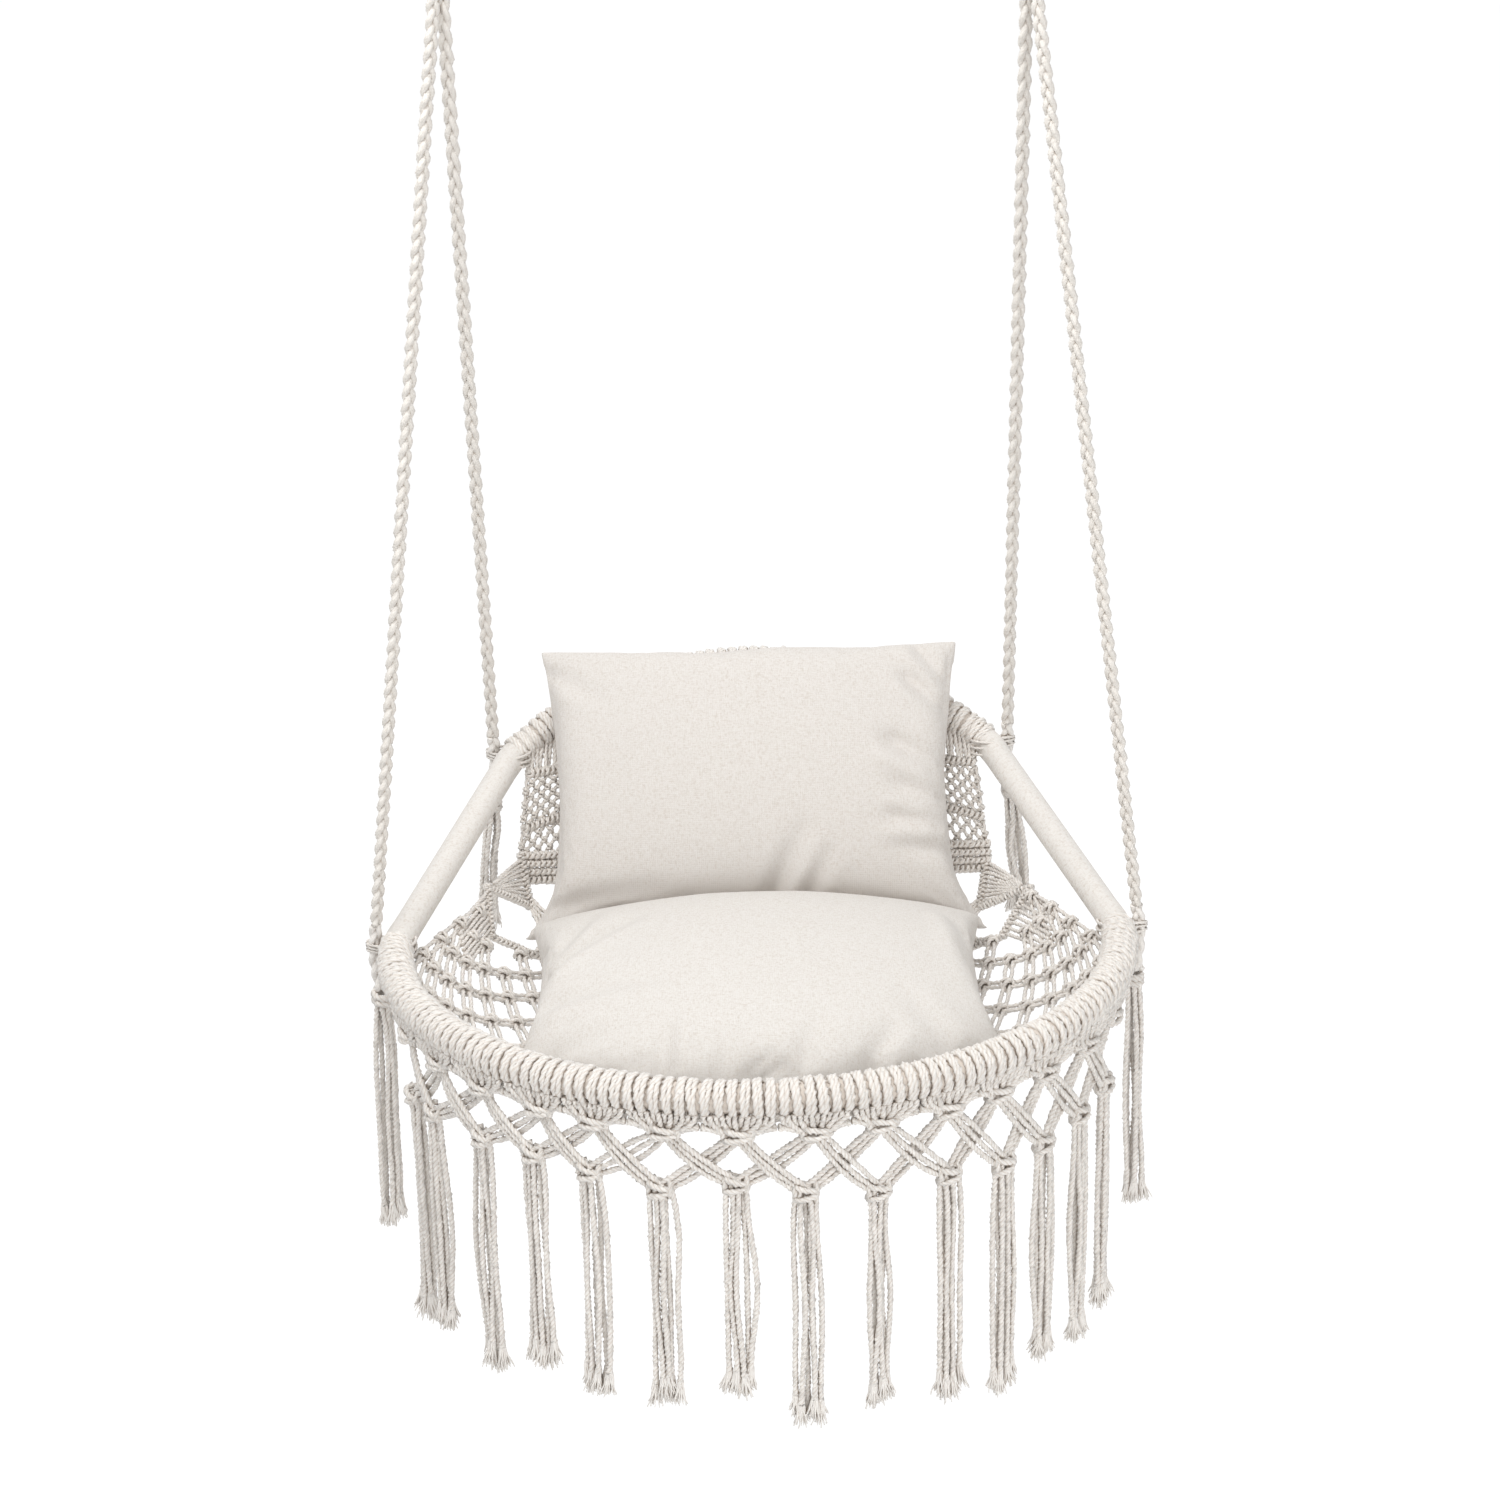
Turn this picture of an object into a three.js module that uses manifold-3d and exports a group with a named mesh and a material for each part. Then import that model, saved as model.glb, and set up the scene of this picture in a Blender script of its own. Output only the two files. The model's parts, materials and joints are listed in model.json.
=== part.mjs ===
// Hammock chair: a steel rim bent into a seat ring, dressed in knotted cotton cord and hung on four
// braided ropes from two rings, with a seat cushion and a back cushion. Millimetres, +Z up, the chair
// faces -Y. The origin lies midway between the two points on which the rings hang.
import * as THREE from 'three';
import { mergeVertices } from 'three/addons/utils/BufferGeometryUtils.js';
import Module from 'manifold-3d';

const wasm = await Module();
wasm.setup();

// Seat ring: the front arc is a level half circle, straight side tubes climb to the back arc
const RIM_RADIUS = 385;
const TUBE_DIAMETER = 25;
const TUBE_WALL = 1.5;
const BACK_HALF_WIDTH = 269;
const BACK_CORNER_DEPTH = 254;
const BACK_CORNER_RISE = 119;
const BACK_ARC_TILT = THREE.MathUtils.degToRad(44);
const ELBOW_REACH = 12;
const ELBOW_INSERT = 32;

// Fits
const CLEARANCE = 0.3;
const CUT_OVERRUN = 5;

// Cords and ropes
const CORD_DIAMETER = 6;
const ROPE_DIAMETER = 13;
const NET_THICKNESS = 8;

// Wraps on the tubes
const HEAD_PITCH = 12;
const BACK_HEAD_PITCH = 24;
const HEAD_THICKNESS = 7;
const HEAD_GROOVE = 2.6;
const SIDE_YARN = 3;
const BINDING_REACH = 34;
const BINDING_THICKNESS = 7;

// Hanging
const FRAME_DROP = 1134;
const FRAME_AHEAD = 6;
const HANG_HALF_WIDTH = 285;
const RING_BORE = 50;
const RING_ROD = 8;
const WHIPPING_HEIGHT = 40;
const WHIPPING_DROP = 34;
const WHIPPING_CORD = 3;
const ROPE_RUN_IN = 24;
const EYE_SLACK = 0.9;
const PAIR_TURN = THREE.MathUtils.degToRad(40);

// Rope tails
const TAIL_STUB = 46;
const TAIL_KNOT_HEIGHT = 24;
const TAIL_KNOT_DIAMETER = 24;
const FRONT_TAIL_LENGTH = 330;
const BACK_TAIL_LENGTH = 215;

// Fringe under the front arc
const FRINGE_KNOTS = 14;
const FRINGE_PITCH = THREE.MathUtils.degToRad(10.9);
const GATHER_WIDTH = 58;
const GATHER_HEIGHT = 22;
const KNOT_WIDTH = 24;
const KNOT_HEIGHT = 22;
const KNOT_THICKNESS = 11;
const FRINGE_OUTSET = 4;
const TASSEL_SPREAD = 1.35;
const LOWER_KNOT_DROP = 98;
const TASSEL_LENGTH = 238;
const TASSEL_CORDS = 6;

// The fringe is tied by eye. From its left end: how far each gather and each lower knot stands off
// its even place, as a share of the pitch, and the drop and the length of each tassel against the usual one.
const GATHER_SHIFT_SHARES = [
  0.35, 0.33, 0.34, 0.38, 0.22, 0.19, 0.15,
  0.16, 0.04, 0, -0.19, -0.28, -0.26, -0.3,
];
const KNOT_SHIFT_SHARES = [
  0.35, 0.08, 0.28, 0.23, 0.11, 0.1, 0.11,
  0.01, -0.02, 0, -0.09, -0.3, -0.41, -0.53,
];
const KNOT_DROP_SHARES = [
  1.06, 1.02, 0.95, 0.9, 0.93, 1, 0.9,
  1.01, 1.09, 1.08, 1.18, 1.16, 1.1, 1.06,
];
const TASSEL_LENGTH_SHARES = [
  1.04, 0.99, 1.06, 0.95, 0.99, 0.96, 0.93,
  1.03, 0.96, 1.01, 1.02, 0.98, 1.04, 1.03,
];

// Seat net and back net
const SEAT_SAG = 80;
const SEAT_RIM_DROP = 20.5;
const SEAT_EDGE_INSET = 8;
const CREASE_DEPTH = 200;
const CREASE_DROP = 12;
const CREASE_HALF_WIDTH = 250;
const SEAT_EDGE_RISE = 22;
const HITCH_BAR = 12;
const BACK_NET_INSET = 19.7;

// Cushions
const SEAT_CUSHION_WIDTH = 478;
const SEAT_CUSHION_DEPTH = 438;
const SEAT_CUSHION_CENTRE_Y = -121;
const SEAT_CUSHION_SEAM_Z = -28;
const SEAT_CUSHION_CROWN = 78;
const SEAT_CUSHION_BELLY = 66;
const SEAT_CUSHION_MARGIN = 13;
const BACK_CUSHION_BASE_WIDTH = 496;
const BACK_CUSHION_TOP_WIDTH = 464;
const BACK_CUSHION_HEIGHT = 322;
const BACK_CUSHION_BASE_Y = 128;
const BACK_CUSHION_BASE_Z = -43.6;
const BACK_CUSHION_LEAN = THREE.MathUtils.degToRad(29);
const BACK_CUSHION_CROWN = 65;
const BACK_CUSHION_REAR = 60;
const COVER_THICKNESS = 2;
const ZIP_LENGTH = 360;
const ZIP_WIDTH = 5;
const CUSHION_REST_GAP = 1;
const NET_BOW = 4;

const TUBE_SIDES = 8;
const WRAP_SIDES = 8;
const CORD_SIDES = 4;
const ARC_STEPS = 16;
const CUSHION_STEPS = 10;
const SEAT_COLUMNS = 12;
const SEAT_ROWS = 10;
const BACK_COLUMNS = 14;
const UPPER_ROWS = 4;
const LOWER_ROWS = 6;

const cotton = new THREE.MeshStandardMaterial({ color: 0xe6dfd4, roughness: 0.95, metalness: 0 });
const linen = new THREE.MeshStandardMaterial({ color: 0xece7df, roughness: 0.9, metalness: 0 });
const steel = new THREE.MeshStandardMaterial({ color: 0x8d9094, roughness: 0.4, metalness: 0.9 });
const wadding = new THREE.MeshStandardMaterial({ color: 0xf4f3f0, roughness: 1, metalness: 0 });
const tape = new THREE.MeshStandardMaterial({ color: 0xded6c9, roughness: 0.6, metalness: 0 });

const chair = new THREE.Group();
const swing = new THREE.Group();
swing.position.set(0, -FRAME_AHEAD, -FRAME_DROP);
chair.add(swing);

function add(group, name, geometry, material) {
  const mesh = new THREE.Mesh(geometry, material);
  mesh.name = name;
  group.add(mesh);
  return mesh;
}

// Closed forms are lofted through rings of points, with a flat cap at each end
function closedGeometry(points, triangles) {
  const position = new Float32Array(points.flatMap((p) => [p.x, p.y, p.z]));
  const geometry = new THREE.BufferGeometry();
  geometry.setAttribute('position', new THREE.BufferAttribute(position, 3));
  geometry.setIndex(triangles.flat());
  return faceOut(geometry);
}

function signedVolume(geometry) {
  const p = geometry.attributes.position;
  const index = geometry.index;
  const [a, b, c] = [new THREE.Vector3(), new THREE.Vector3(), new THREE.Vector3()];
  let sum = 0;
  for (let i = 0; i < index.count; i += 3) {
    a.fromBufferAttribute(p, index.getX(i));
    b.fromBufferAttribute(p, index.getX(i + 1));
    c.fromBufferAttribute(p, index.getX(i + 2));
    sum += a.dot(b.cross(c));
  }
  return sum;
}

function faceOut(geometry) {
  if (signedVolume(geometry) < 0) {
    const index = geometry.index.array;
    for (let i = 0; i < index.length; i += 3) {
      [index[i], index[i + 1]] = [index[i + 1], index[i]];
    }
  }
  return geometry;
}

function loft(rings) {
  const sides = rings[0].length;
  const triangles = [];
  for (let r = 0; r < rings.length - 1; r++) {
    for (let s = 0; s < sides; s++) {
      const a = r * sides + s;
      const b = r * sides + ((s + 1) % sides);
      triangles.push([a, b, b + sides], [a, b + sides, a + sides]);
    }
  }
  const last = (rings.length - 1) * sides;
  for (let s = 1; s < sides - 1; s++) {
    triangles.push([0, s + 1, s], [last, last + s, last + s + 1]);
  }
  return closedGeometry(rings.flat(), triangles);
}

// A sleeve has an outer skin and a bore, whose rings may stand further apart than the outer ones
function sleeve(outerRings, boreRings) {
  const sides = outerRings[0].length;
  const triangles = [];
  const skin = (offset, count, outward) => {
    for (let r = 0; r < count - 1; r++) {
      for (let s = 0; s < sides; s++) {
        const a = offset + r * sides + s;
        const b = offset + r * sides + ((s + 1) % sides);
        triangles.push(outward ? [a, b, b + sides] : [a, b + sides, b]);
        triangles.push(outward ? [a, b + sides, a + sides] : [a, a + sides, b + sides]);
      }
    }
  };
  const bore = outerRings.length * sides;
  skin(0, outerRings.length, true);
  skin(bore, boreRings.length, false);
  for (let s = 0; s < sides; s++) {
    const t = (s + 1) % sides;
    const outEnd = (outerRings.length - 1) * sides;
    const inEnd = bore + (boreRings.length - 1) * sides;
    triangles.push([s, bore + s, bore + t], [s, bore + t, t]);
    triangles.push([outEnd + s, outEnd + t, inEnd + t], [outEnd + s, inEnd + t, inEnd + s]);
  }
  return closedGeometry([...outerRings, ...boreRings].flat(), triangles);
}

// One ring of points round a station, in the plane of its two axes
function ring(station, radius, sides, second = radius) {
  return Array.from({ length: sides }, (_, i) => {
    const a = (i / sides) * 2 * Math.PI;
    return station.at
      .clone()
      .addScaledVector(station.across, radius * Math.cos(a))
      .addScaledVector(station.up, second * Math.sin(a));
  });
}

function solid(geometry) {
  const plain = geometry.clone();
  plain.deleteAttribute('normal');
  plain.deleteAttribute('uv');
  const merged = faceOut(mergeVertices(plain, 1e-4));
  return new wasm.Manifold(new wasm.Mesh({
    numProp: 3,
    vertProperties: new Float32Array(merged.attributes.position.array),
    triVerts: new Uint32Array(merged.index.array),
  }));
}

function geometryOf(manifold) {
  const mesh = manifold.getMesh();
  const geometry = new THREE.BufferGeometry();
  const position = new Float32Array(mesh.vertProperties);
  geometry.setAttribute('position', new THREE.BufferAttribute(position, 3));
  geometry.setIndex(Array.from(mesh.triVerts));
  return geometry;
}

const fuse = (geometries) => geometryOf(geometries.map(solid).reduce((a, b) => a.add(b)));

const SIDES = [['left', -1], ['right', 1]];

// Stations of the four stretches of the ring
const frontArc = (angle, radius = RIM_RADIUS, z = 0) => {
  return new THREE.Vector3(-radius * Math.cos(angle), -radius * Math.sin(angle), z);
};
const frontStation = (angle) => ({
  at: frontArc(angle),
  across: new THREE.Vector3(-Math.cos(angle), -Math.sin(angle), 0),
  up: new THREE.Vector3(0, 0, 1),
});

const BACK_HALF_ANGLE = Math.asin(BACK_HALF_WIDTH / RIM_RADIUS);
const BACK_ARC_UP = new THREE.Vector3(0, Math.cos(BACK_ARC_TILT), Math.sin(BACK_ARC_TILT));
const BACK_ARC_NORMAL = new THREE.Vector3(0, -Math.sin(BACK_ARC_TILT), Math.cos(BACK_ARC_TILT));
const BACK_ARC_CENTRE = new THREE.Vector3(0, BACK_CORNER_DEPTH, BACK_CORNER_RISE)
  .addScaledVector(BACK_ARC_UP, -RIM_RADIUS * Math.cos(BACK_HALF_ANGLE));
const backOutward = (angle) => new THREE.Vector3(Math.sin(angle), 0, 0)
  .addScaledVector(BACK_ARC_UP, Math.cos(angle));
const backStation = (angle) => ({
  at: BACK_ARC_CENTRE.clone().addScaledVector(backOutward(angle), RIM_RADIUS),
  across: backOutward(angle),
  up: BACK_ARC_NORMAL,
});

const frontCorner = (side) => new THREE.Vector3(side * RIM_RADIUS, 0, 0);
const backCorner = (side) => {
  return new THREE.Vector3(side * BACK_HALF_WIDTH, BACK_CORNER_DEPTH, BACK_CORNER_RISE);
};
const sideVector = (side) => backCorner(side).sub(frontCorner(side));
const SIDE_LENGTH = sideVector(1).length();
// A station with the axis nearest to a given outward direction, square to the way along
function stationOn(at, along, outward) {
  const way = along.clone().normalize();
  const across = outward.clone().addScaledVector(way, -outward.dot(way)).normalize();
  return { at, across, up: way.cross(across) };
}
const sideStation = (side, distance) => {
  const along = sideVector(side).normalize();
  return stationOn(frontCorner(side).addScaledVector(along, distance), along,
    new THREE.Vector3(side, 0, 0));
};

const spread = (from, to, count) => {
  return Array.from({ length: count + 1 }, (_, i) => from + ((to - from) * i) / count);
};

// Steel tubes, each open at its ends
const TUBE_RADIUS = TUBE_DIAMETER / 2;
const BORE_RADIUS = TUBE_RADIUS - TUBE_WALL;
function tubeOf(stations) {
  return sleeve(
    stations.map((s) => ring(s, TUBE_RADIUS, TUBE_SIDES)),
    stations.map((s) => ring(s, BORE_RADIUS, TUBE_SIDES)),
  );
}
const cornerAngle = ELBOW_REACH / RIM_RADIUS;
const frontTubeStations = spread(cornerAngle, Math.PI - cornerAngle, ARC_STEPS).map(frontStation);
const backSteps = Math.round((ARC_STEPS * 2 * BACK_HALF_ANGLE) / Math.PI);
const backTubeStations = spread(
  -BACK_HALF_ANGLE + cornerAngle, BACK_HALF_ANGLE - cornerAngle, backSteps,
).map(backStation);
const sideTubeStations = (side) => [ELBOW_REACH, SIDE_LENGTH - ELBOW_REACH]
  .map((d) => sideStation(side, d));
add(swing, 'front_arc_tube', tubeOf(frontTubeStations), steel);
add(swing, 'back_arc_tube', tubeOf(backTubeStations), steel);
for (const [name, side] of SIDES) {
  add(swing, `${name}_side_tube`, tubeOf(sideTubeStations(side)), steel);
}

// Solid elbows plug into the tube ends at the four corners
const ELBOW_RADIUS = BORE_RADIUS * Math.cos(Math.PI / TUBE_SIDES) - CLEARANCE;
function polygon(radius, sides) {
  return new THREE.Shape(Array.from({ length: sides }, (_, i) => {
    const a = (i / sides) * 2 * Math.PI;
    return new THREE.Vector2(radius * Math.cos(a), radius * Math.sin(a));
  }));
}
function rod(path, radius, sides, steps) {
  const options = { steps, extrudePath: path, bevelEnabled: false };
  const extruded = new THREE.ExtrudeGeometry(polygon(radius, sides), options);
  extruded.deleteAttribute('normal');
  extruded.deleteAttribute('uv');
  return faceOut(mergeVertices(extruded, 1e-4));
}
// The legs of an elbow lie on the last straight facets of the two tubes that it joins
function elbowPath(endA, nextA, corner, endB, nextB) {
  const legA = nextA.clone().sub(endA).setLength(ELBOW_INSERT).add(endA);
  const legB = nextB.clone().sub(endB).setLength(ELBOW_INSERT).add(endB);
  const path = new THREE.CurvePath();
  path.add(new THREE.LineCurve3(legA, endA));
  path.add(new THREE.QuadraticBezierCurve3(endA, corner, endB));
  path.add(new THREE.LineCurve3(endB, legB));
  return path;
}
const ELBOW_SIDES = 8;
const ELBOW_STEPS = 5;
function elbowPaths(side) {
  const arcEnd = side < 0 ? 0 : frontTubeStations.length - 1;
  const arcNext = side < 0 ? 1 : frontTubeStations.length - 2;
  const backEnd = side < 0 ? 0 : backTubeStations.length - 1;
  const backNext = side < 0 ? 1 : backTubeStations.length - 2;
  const [low, high] = sideTubeStations(side);
  return {
    front: elbowPath(frontTubeStations[arcEnd].at, frontTubeStations[arcNext].at,
      frontCorner(side), low.at, high.at),
    back: elbowPath(backTubeStations[backEnd].at, backTubeStations[backNext].at,
      backCorner(side), high.at, low.at),
  };
}

// Lark's heads stand side by side on the arcs as ribs, and plain yarn covers the side tubes
const BORE_STEP = 72;
const HEAD_RADIUS = TUBE_RADIUS + HEAD_THICKNESS;
function headSleeve(stationAt, from, to, pitch) {
  const reach = Math.abs(to - from) * RIM_RADIUS;
  const boreSteps = Math.ceil(reach / BORE_STEP);
  const headsPerStep = Math.round(reach / boreSteps / pitch);
  const heads = boreSteps * headsPerStep;
  const outer = [];
  for (let i = 0; i < heads; i++) {
    const a = from + ((to - from) * i) / heads;
    const b = from + ((to - from) * (i + 0.5)) / heads;
    outer.push(ring(stationAt(a), HEAD_RADIUS - HEAD_GROOVE, WRAP_SIDES));
    outer.push(ring(stationAt(b), HEAD_RADIUS, WRAP_SIDES));
  }
  outer.push(ring(stationAt(to), HEAD_RADIUS - HEAD_GROOVE, WRAP_SIDES));
  const chord = reach / boreSteps;
  const tubeChord = (Math.PI * RIM_RADIUS) / ARC_STEPS;
  const bow = Math.max(chord, tubeChord) ** 2 / (8 * RIM_RADIUS);
  const inner = (TUBE_RADIUS + CLEARANCE + bow) / Math.cos(Math.PI / WRAP_SIDES);
  return sleeve(outer, spread(from, to, boreSteps).map((a) => ring(stationAt(a), inner, WRAP_SIDES)));
}
const wrapAngle = (BINDING_REACH + CLEARANCE) / RIM_RADIUS;
const halfGap = CLEARANCE / 2 / RIM_RADIUS;
const MIDDLE = Math.PI / 2;
const FRONT_WRAPS = 3;
for (const [name, side] of SIDES) {
  const corner = side < 0 ? wrapAngle : Math.PI - wrapAngle;
  const middle = MIDDLE + side * halfGap;
  const bounds = spread(corner, middle, FRONT_WRAPS);
  for (let i = 0; i < FRONT_WRAPS; i++) {
    const from = bounds[i] - (i > 0 ? side * halfGap : 0);
    const to = bounds[i + 1] + (i < FRONT_WRAPS - 1 ? side * halfGap : 0);
    add(swing, `${name}_front_rim_wrap_${i + 1}`, headSleeve(frontStation, from, to, HEAD_PITCH), cotton);
  }
  const end = side * (BACK_HALF_ANGLE - wrapAngle);
  add(swing, `${name}_back_rim_wrap`, headSleeve(backStation, end, side * halfGap, BACK_HEAD_PITCH), cotton);
}

const SIDE_WRAP_SIDES = 12;
for (const [name, side] of SIDES) {
  const inner = (TUBE_RADIUS + CLEARANCE) / Math.cos(Math.PI / SIDE_WRAP_SIDES);
  const reach = BINDING_REACH + CLEARANCE;
  const stations = [reach, SIDE_LENGTH - reach].map((d) => sideStation(side, d));
  const geometry = sleeve(
    stations.map((s) => ring(s, TUBE_RADIUS + SIDE_YARN, SIDE_WRAP_SIDES)),
    stations.map((s) => ring(s, inner, SIDE_WRAP_SIDES)),
  );
  add(swing, `${name}_side_wrap`, geometry, cotton);
}

// Wound bindings close the corners over the elbows and the tube ends
const BINDING_RADIUS = TUBE_RADIUS + BINDING_THICKNESS;
const BINDING_SIDES = 8;
// A tube grown by the clearance all round and at both ends, to cut its seat
function grownTube(stations) {
  const grown = (TUBE_RADIUS + CLEARANCE) / Math.cos(Math.PI / TUBE_SIDES);
  const beyond = (end, next) => ({
    ...end,
    at: end.at.clone().add(end.at.clone().sub(next.at).setLength(CLEARANCE)),
  });
  const [first, second] = stations;
  const [last, before] = [...stations].reverse();
  const grownStations = [beyond(first, second), ...stations.slice(1, -1), beyond(last, before)];
  return loft(grownStations.map((s) => ring(s, grown, TUBE_SIDES)));
}
// Rings run up the arc, over the corner and down the side tube, each square to the way
function bindingForm(arcPoints, arcWays, corner, sidePoints, sideWay, outward) {
  const cornerWay = arcWays[1].clone().normalize().add(sideWay.clone().normalize());
  const stations = [
    ...arcPoints.map((at, i) => stationOn(at, arcWays[i], outward)),
    stationOn(corner, cornerWay, outward),
    ...sidePoints.map((at) => stationOn(at, sideWay, outward)),
  ];
  return loft(stations.map((station) => ring(station, BINDING_RADIUS, BINDING_SIDES)));
}
const reaches = [BINDING_REACH, ELBOW_REACH];
for (const [name, side] of SIDES) {
  const paths = elbowPaths(side);
  const tubes = [frontTubeStations, backTubeStations, sideTubeStations(side)].map(grownTube);
  const frontAngles = reaches.map((d) => (side < 0 ? d : Math.PI * RIM_RADIUS - d) / RIM_RADIUS);
  const backAngles = reaches.map((d) => side * (BACK_HALF_ANGLE - d / RIM_RADIUS));
  const frontWays = frontAngles.map((a) => {
    return new THREE.Vector3(Math.sin(a), -Math.cos(a), 0).multiplyScalar(side);
  });
  const backWays = backAngles.map((a) => new THREE.Vector3(Math.cos(a), 0, 0)
    .addScaledVector(BACK_ARC_UP, -Math.sin(a)).multiplyScalar(side));
  const outward = new THREE.Vector3(side, 0, 0);
  const lowPoints = [...reaches].reverse().map((d) => sideStation(side, d).at);
  const highPoints = [...reaches].reverse().map((d) => sideStation(side, SIDE_LENGTH - d).at);
  const forms = {
    front: bindingForm(frontAngles.map((a) => frontStation(a).at), frontWays, frontCorner(side),
      lowPoints, sideVector(side), outward),
    back: bindingForm(backAngles.map((a) => backStation(a).at), backWays, backCorner(side),
      highPoints, sideVector(side).negate(), outward),
  };
  for (const end of ['front', 'back']) {
    const elbow = (radius) => rod(paths[end], radius, ELBOW_SIDES, ELBOW_STEPS);
    add(swing, `${name}_${end}_elbow`, elbow(ELBOW_RADIUS), steel);
    const cutters = [...tubes, elbow(ELBOW_RADIUS + CLEARANCE)].map(solid);
    const cut = cutters.reduce((a, b) => a.subtract(b), solid(forms[end]));
    add(swing, `${name}_${end}_binding`, geometryOf(cut), cotton);
  }
}

// Hanging rings: closed steel rings that face forward, whose lowest point carries the ropes
const RING_RADIUS = (RING_BORE + RING_ROD) / 2;
const RING_STEPS = 16;
const RING_SIDES = 6;
const RING_CENTRE_Z = -RING_BORE / 2;
const PIVOT_Z = RING_CENTRE_Z - RING_RADIUS;
for (const [name, side] of SIDES) {
  const torus = new THREE.TorusGeometry(RING_RADIUS, RING_ROD / 2, RING_SIDES, RING_STEPS);
  torus.deleteAttribute('normal');
  torus.deleteAttribute('uv');
  const hoop = add(chair, `${name}_hanging_ring`, faceOut(mergeVertices(torus, 1e-4)), steel);
  hoop.rotation.x = Math.PI / 2;
  hoop.position.set(side * HANG_HALF_WIDTH, 0, RING_CENTRE_Z);
}

// At each ring the two ropes of a side join in an eye, closed by a whipping
const ROPE_RADIUS = ROPE_DIAMETER / 2;
const EYE_RADIUS = RING_ROD / 2 + EYE_SLACK + ROPE_RADIUS;
const EYE_SIDES = 8;
const EYE_STEPS = 12;
const PAIR_HALF = ROPE_RADIUS + CLEARANCE / 2;
const WHIPPING_SIDES = 12;
// The front rope of a pair lies towards the outer front side of the whipping
const pairWay = (side) => new THREE.Vector3(side * Math.sin(PAIR_TURN), -Math.cos(PAIR_TURN), 0);
function eyeGeometry(side) {
  const neck = -WHIPPING_DROP - ROPE_RADIUS;
  const turn = [0.5, 0.25, 0].map((share) => share * Math.PI);
  const half = turn.map((a) => [EYE_RADIUS * Math.cos(a), EYE_RADIUS * Math.sin(a)]).reverse();
  const points = [
    [PAIR_HALF, neck],
    [(PAIR_HALF + EYE_RADIUS) / 2, -WHIPPING_DROP / 2],
    ...half,
    ...[...half].reverse().slice(1).map(([y, z]) => [-y, z]),
    [-(PAIR_HALF + EYE_RADIUS) / 2, -WHIPPING_DROP / 2],
    [-PAIR_HALF, neck],
  ].map(([y, z]) => new THREE.Vector3(0, y, z));
  const path = new THREE.CatmullRomCurve3(points, false, 'centripetal');
  const bight = rod(path, ROPE_RADIUS, EYE_SIDES, EYE_STEPS);
  const wound = ROPE_RADIUS + WHIPPING_CORD;
  const pair = pairWay(side);
  const whipping = loft([0, WHIPPING_HEIGHT].map((d) => ring({
    at: new THREE.Vector3(0, 0, -WHIPPING_DROP - d),
    across: new THREE.Vector3(-pair.y, pair.x, 0),
    up: pair,
  }, wound, WHIPPING_SIDES, wound + PAIR_HALF)));
  return fuse([bight, whipping]);
}
for (const [name, side] of SIDES) {
  const eye = add(chair, `${name}_rope_eye`, eyeGeometry(side), cotton);
  eye.position.set(side * HANG_HALF_WIDTH, 0, PIVOT_Z);
}

// Braided ropes run taut from the whipping to the outer side of each corner
const WHIPPING_FOOT_Z = PIVOT_Z - WHIPPING_DROP - WHIPPING_HEIGHT;
const ROPE_SIDES = 8;
const ROPE_STEPS = 12;
const BACK_ROPE_TURN = THREE.MathUtils.degToRad(17);
const BACK_BINDING_SHARE = 0.96;
const ROPE_CORNER_RISE = 24;
const ROPE_SHARES = [0.12, 0.3, 0.5, 0.7, 0.88];
// The binding turns a flat side to the rope at a back corner and an edge at a front corner
const ropeCorner = (side, end) => {
  const offset = ROPE_RADIUS + CLEARANCE;
  if (end === 'front') {
    const outward = new THREE.Vector3(side * (BINDING_RADIUS + offset), 0, 0);
    return frontCorner(side).add(outward).add(swing.position);
  }
  const outward = new THREE.Vector3(side * Math.cos(BACK_ROPE_TURN), Math.sin(BACK_ROPE_TURN), 0);
  const flat = BINDING_RADIUS * BACK_BINDING_SHARE;
  return backCorner(side).addScaledVector(outward, flat + offset).add(swing.position);
};
function ropePoints(side, end) {
  const top = new THREE.Vector3(side * HANG_HALF_WIDTH, 0, WHIPPING_FOOT_Z - CLEARANCE)
    .addScaledVector(pairWay(side), end === 'front' ? PAIR_HALF : -PAIR_HALF);
  const neck = top.clone().setZ(top.z - ROPE_RUN_IN);
  const foot = ropeCorner(side, end);
  const slope = neck.clone().sub(foot).normalize();
  const low = foot.clone().addScaledVector(slope, ROPE_CORNER_RISE);
  const between = ROPE_SHARES.map((share) => neck.clone().lerp(low, share));
  return [top, neck, ...between, low];
}
for (const [name, side] of SIDES) {
  for (const end of ['front', 'back']) {
    const path = new THREE.CatmullRomCurve3(ropePoints(side, end), false, 'centripetal');
    add(chair, `${name}_${end}_rope`, rod(path, ROPE_RADIUS, ROPE_SIDES, ROPE_STEPS), cotton);
  }
}

// A hanging cord is a thin prism that runs a little outward on its way down
function strand(top, length, drift, radius = CORD_DIAMETER / 2) {
  const foot = top.clone().add(drift);
  foot.z -= length;
  return loft([top, foot].map((at) => ring({
    at,
    across: new THREE.Vector3(1, 0, 0),
    up: new THREE.Vector3(0, 1, 0),
  }, radius, CORD_SIDES)));
}
const BUNDLE_START = THREE.MathUtils.degToRad(23);
const bundleSpot = (i, count, spacing) => {
  const turn = (i / count) * 2 * Math.PI + BUNDLE_START;
  return new THREE.Vector3(spacing * Math.cos(turn), spacing * Math.sin(turn), 0);
};

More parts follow.
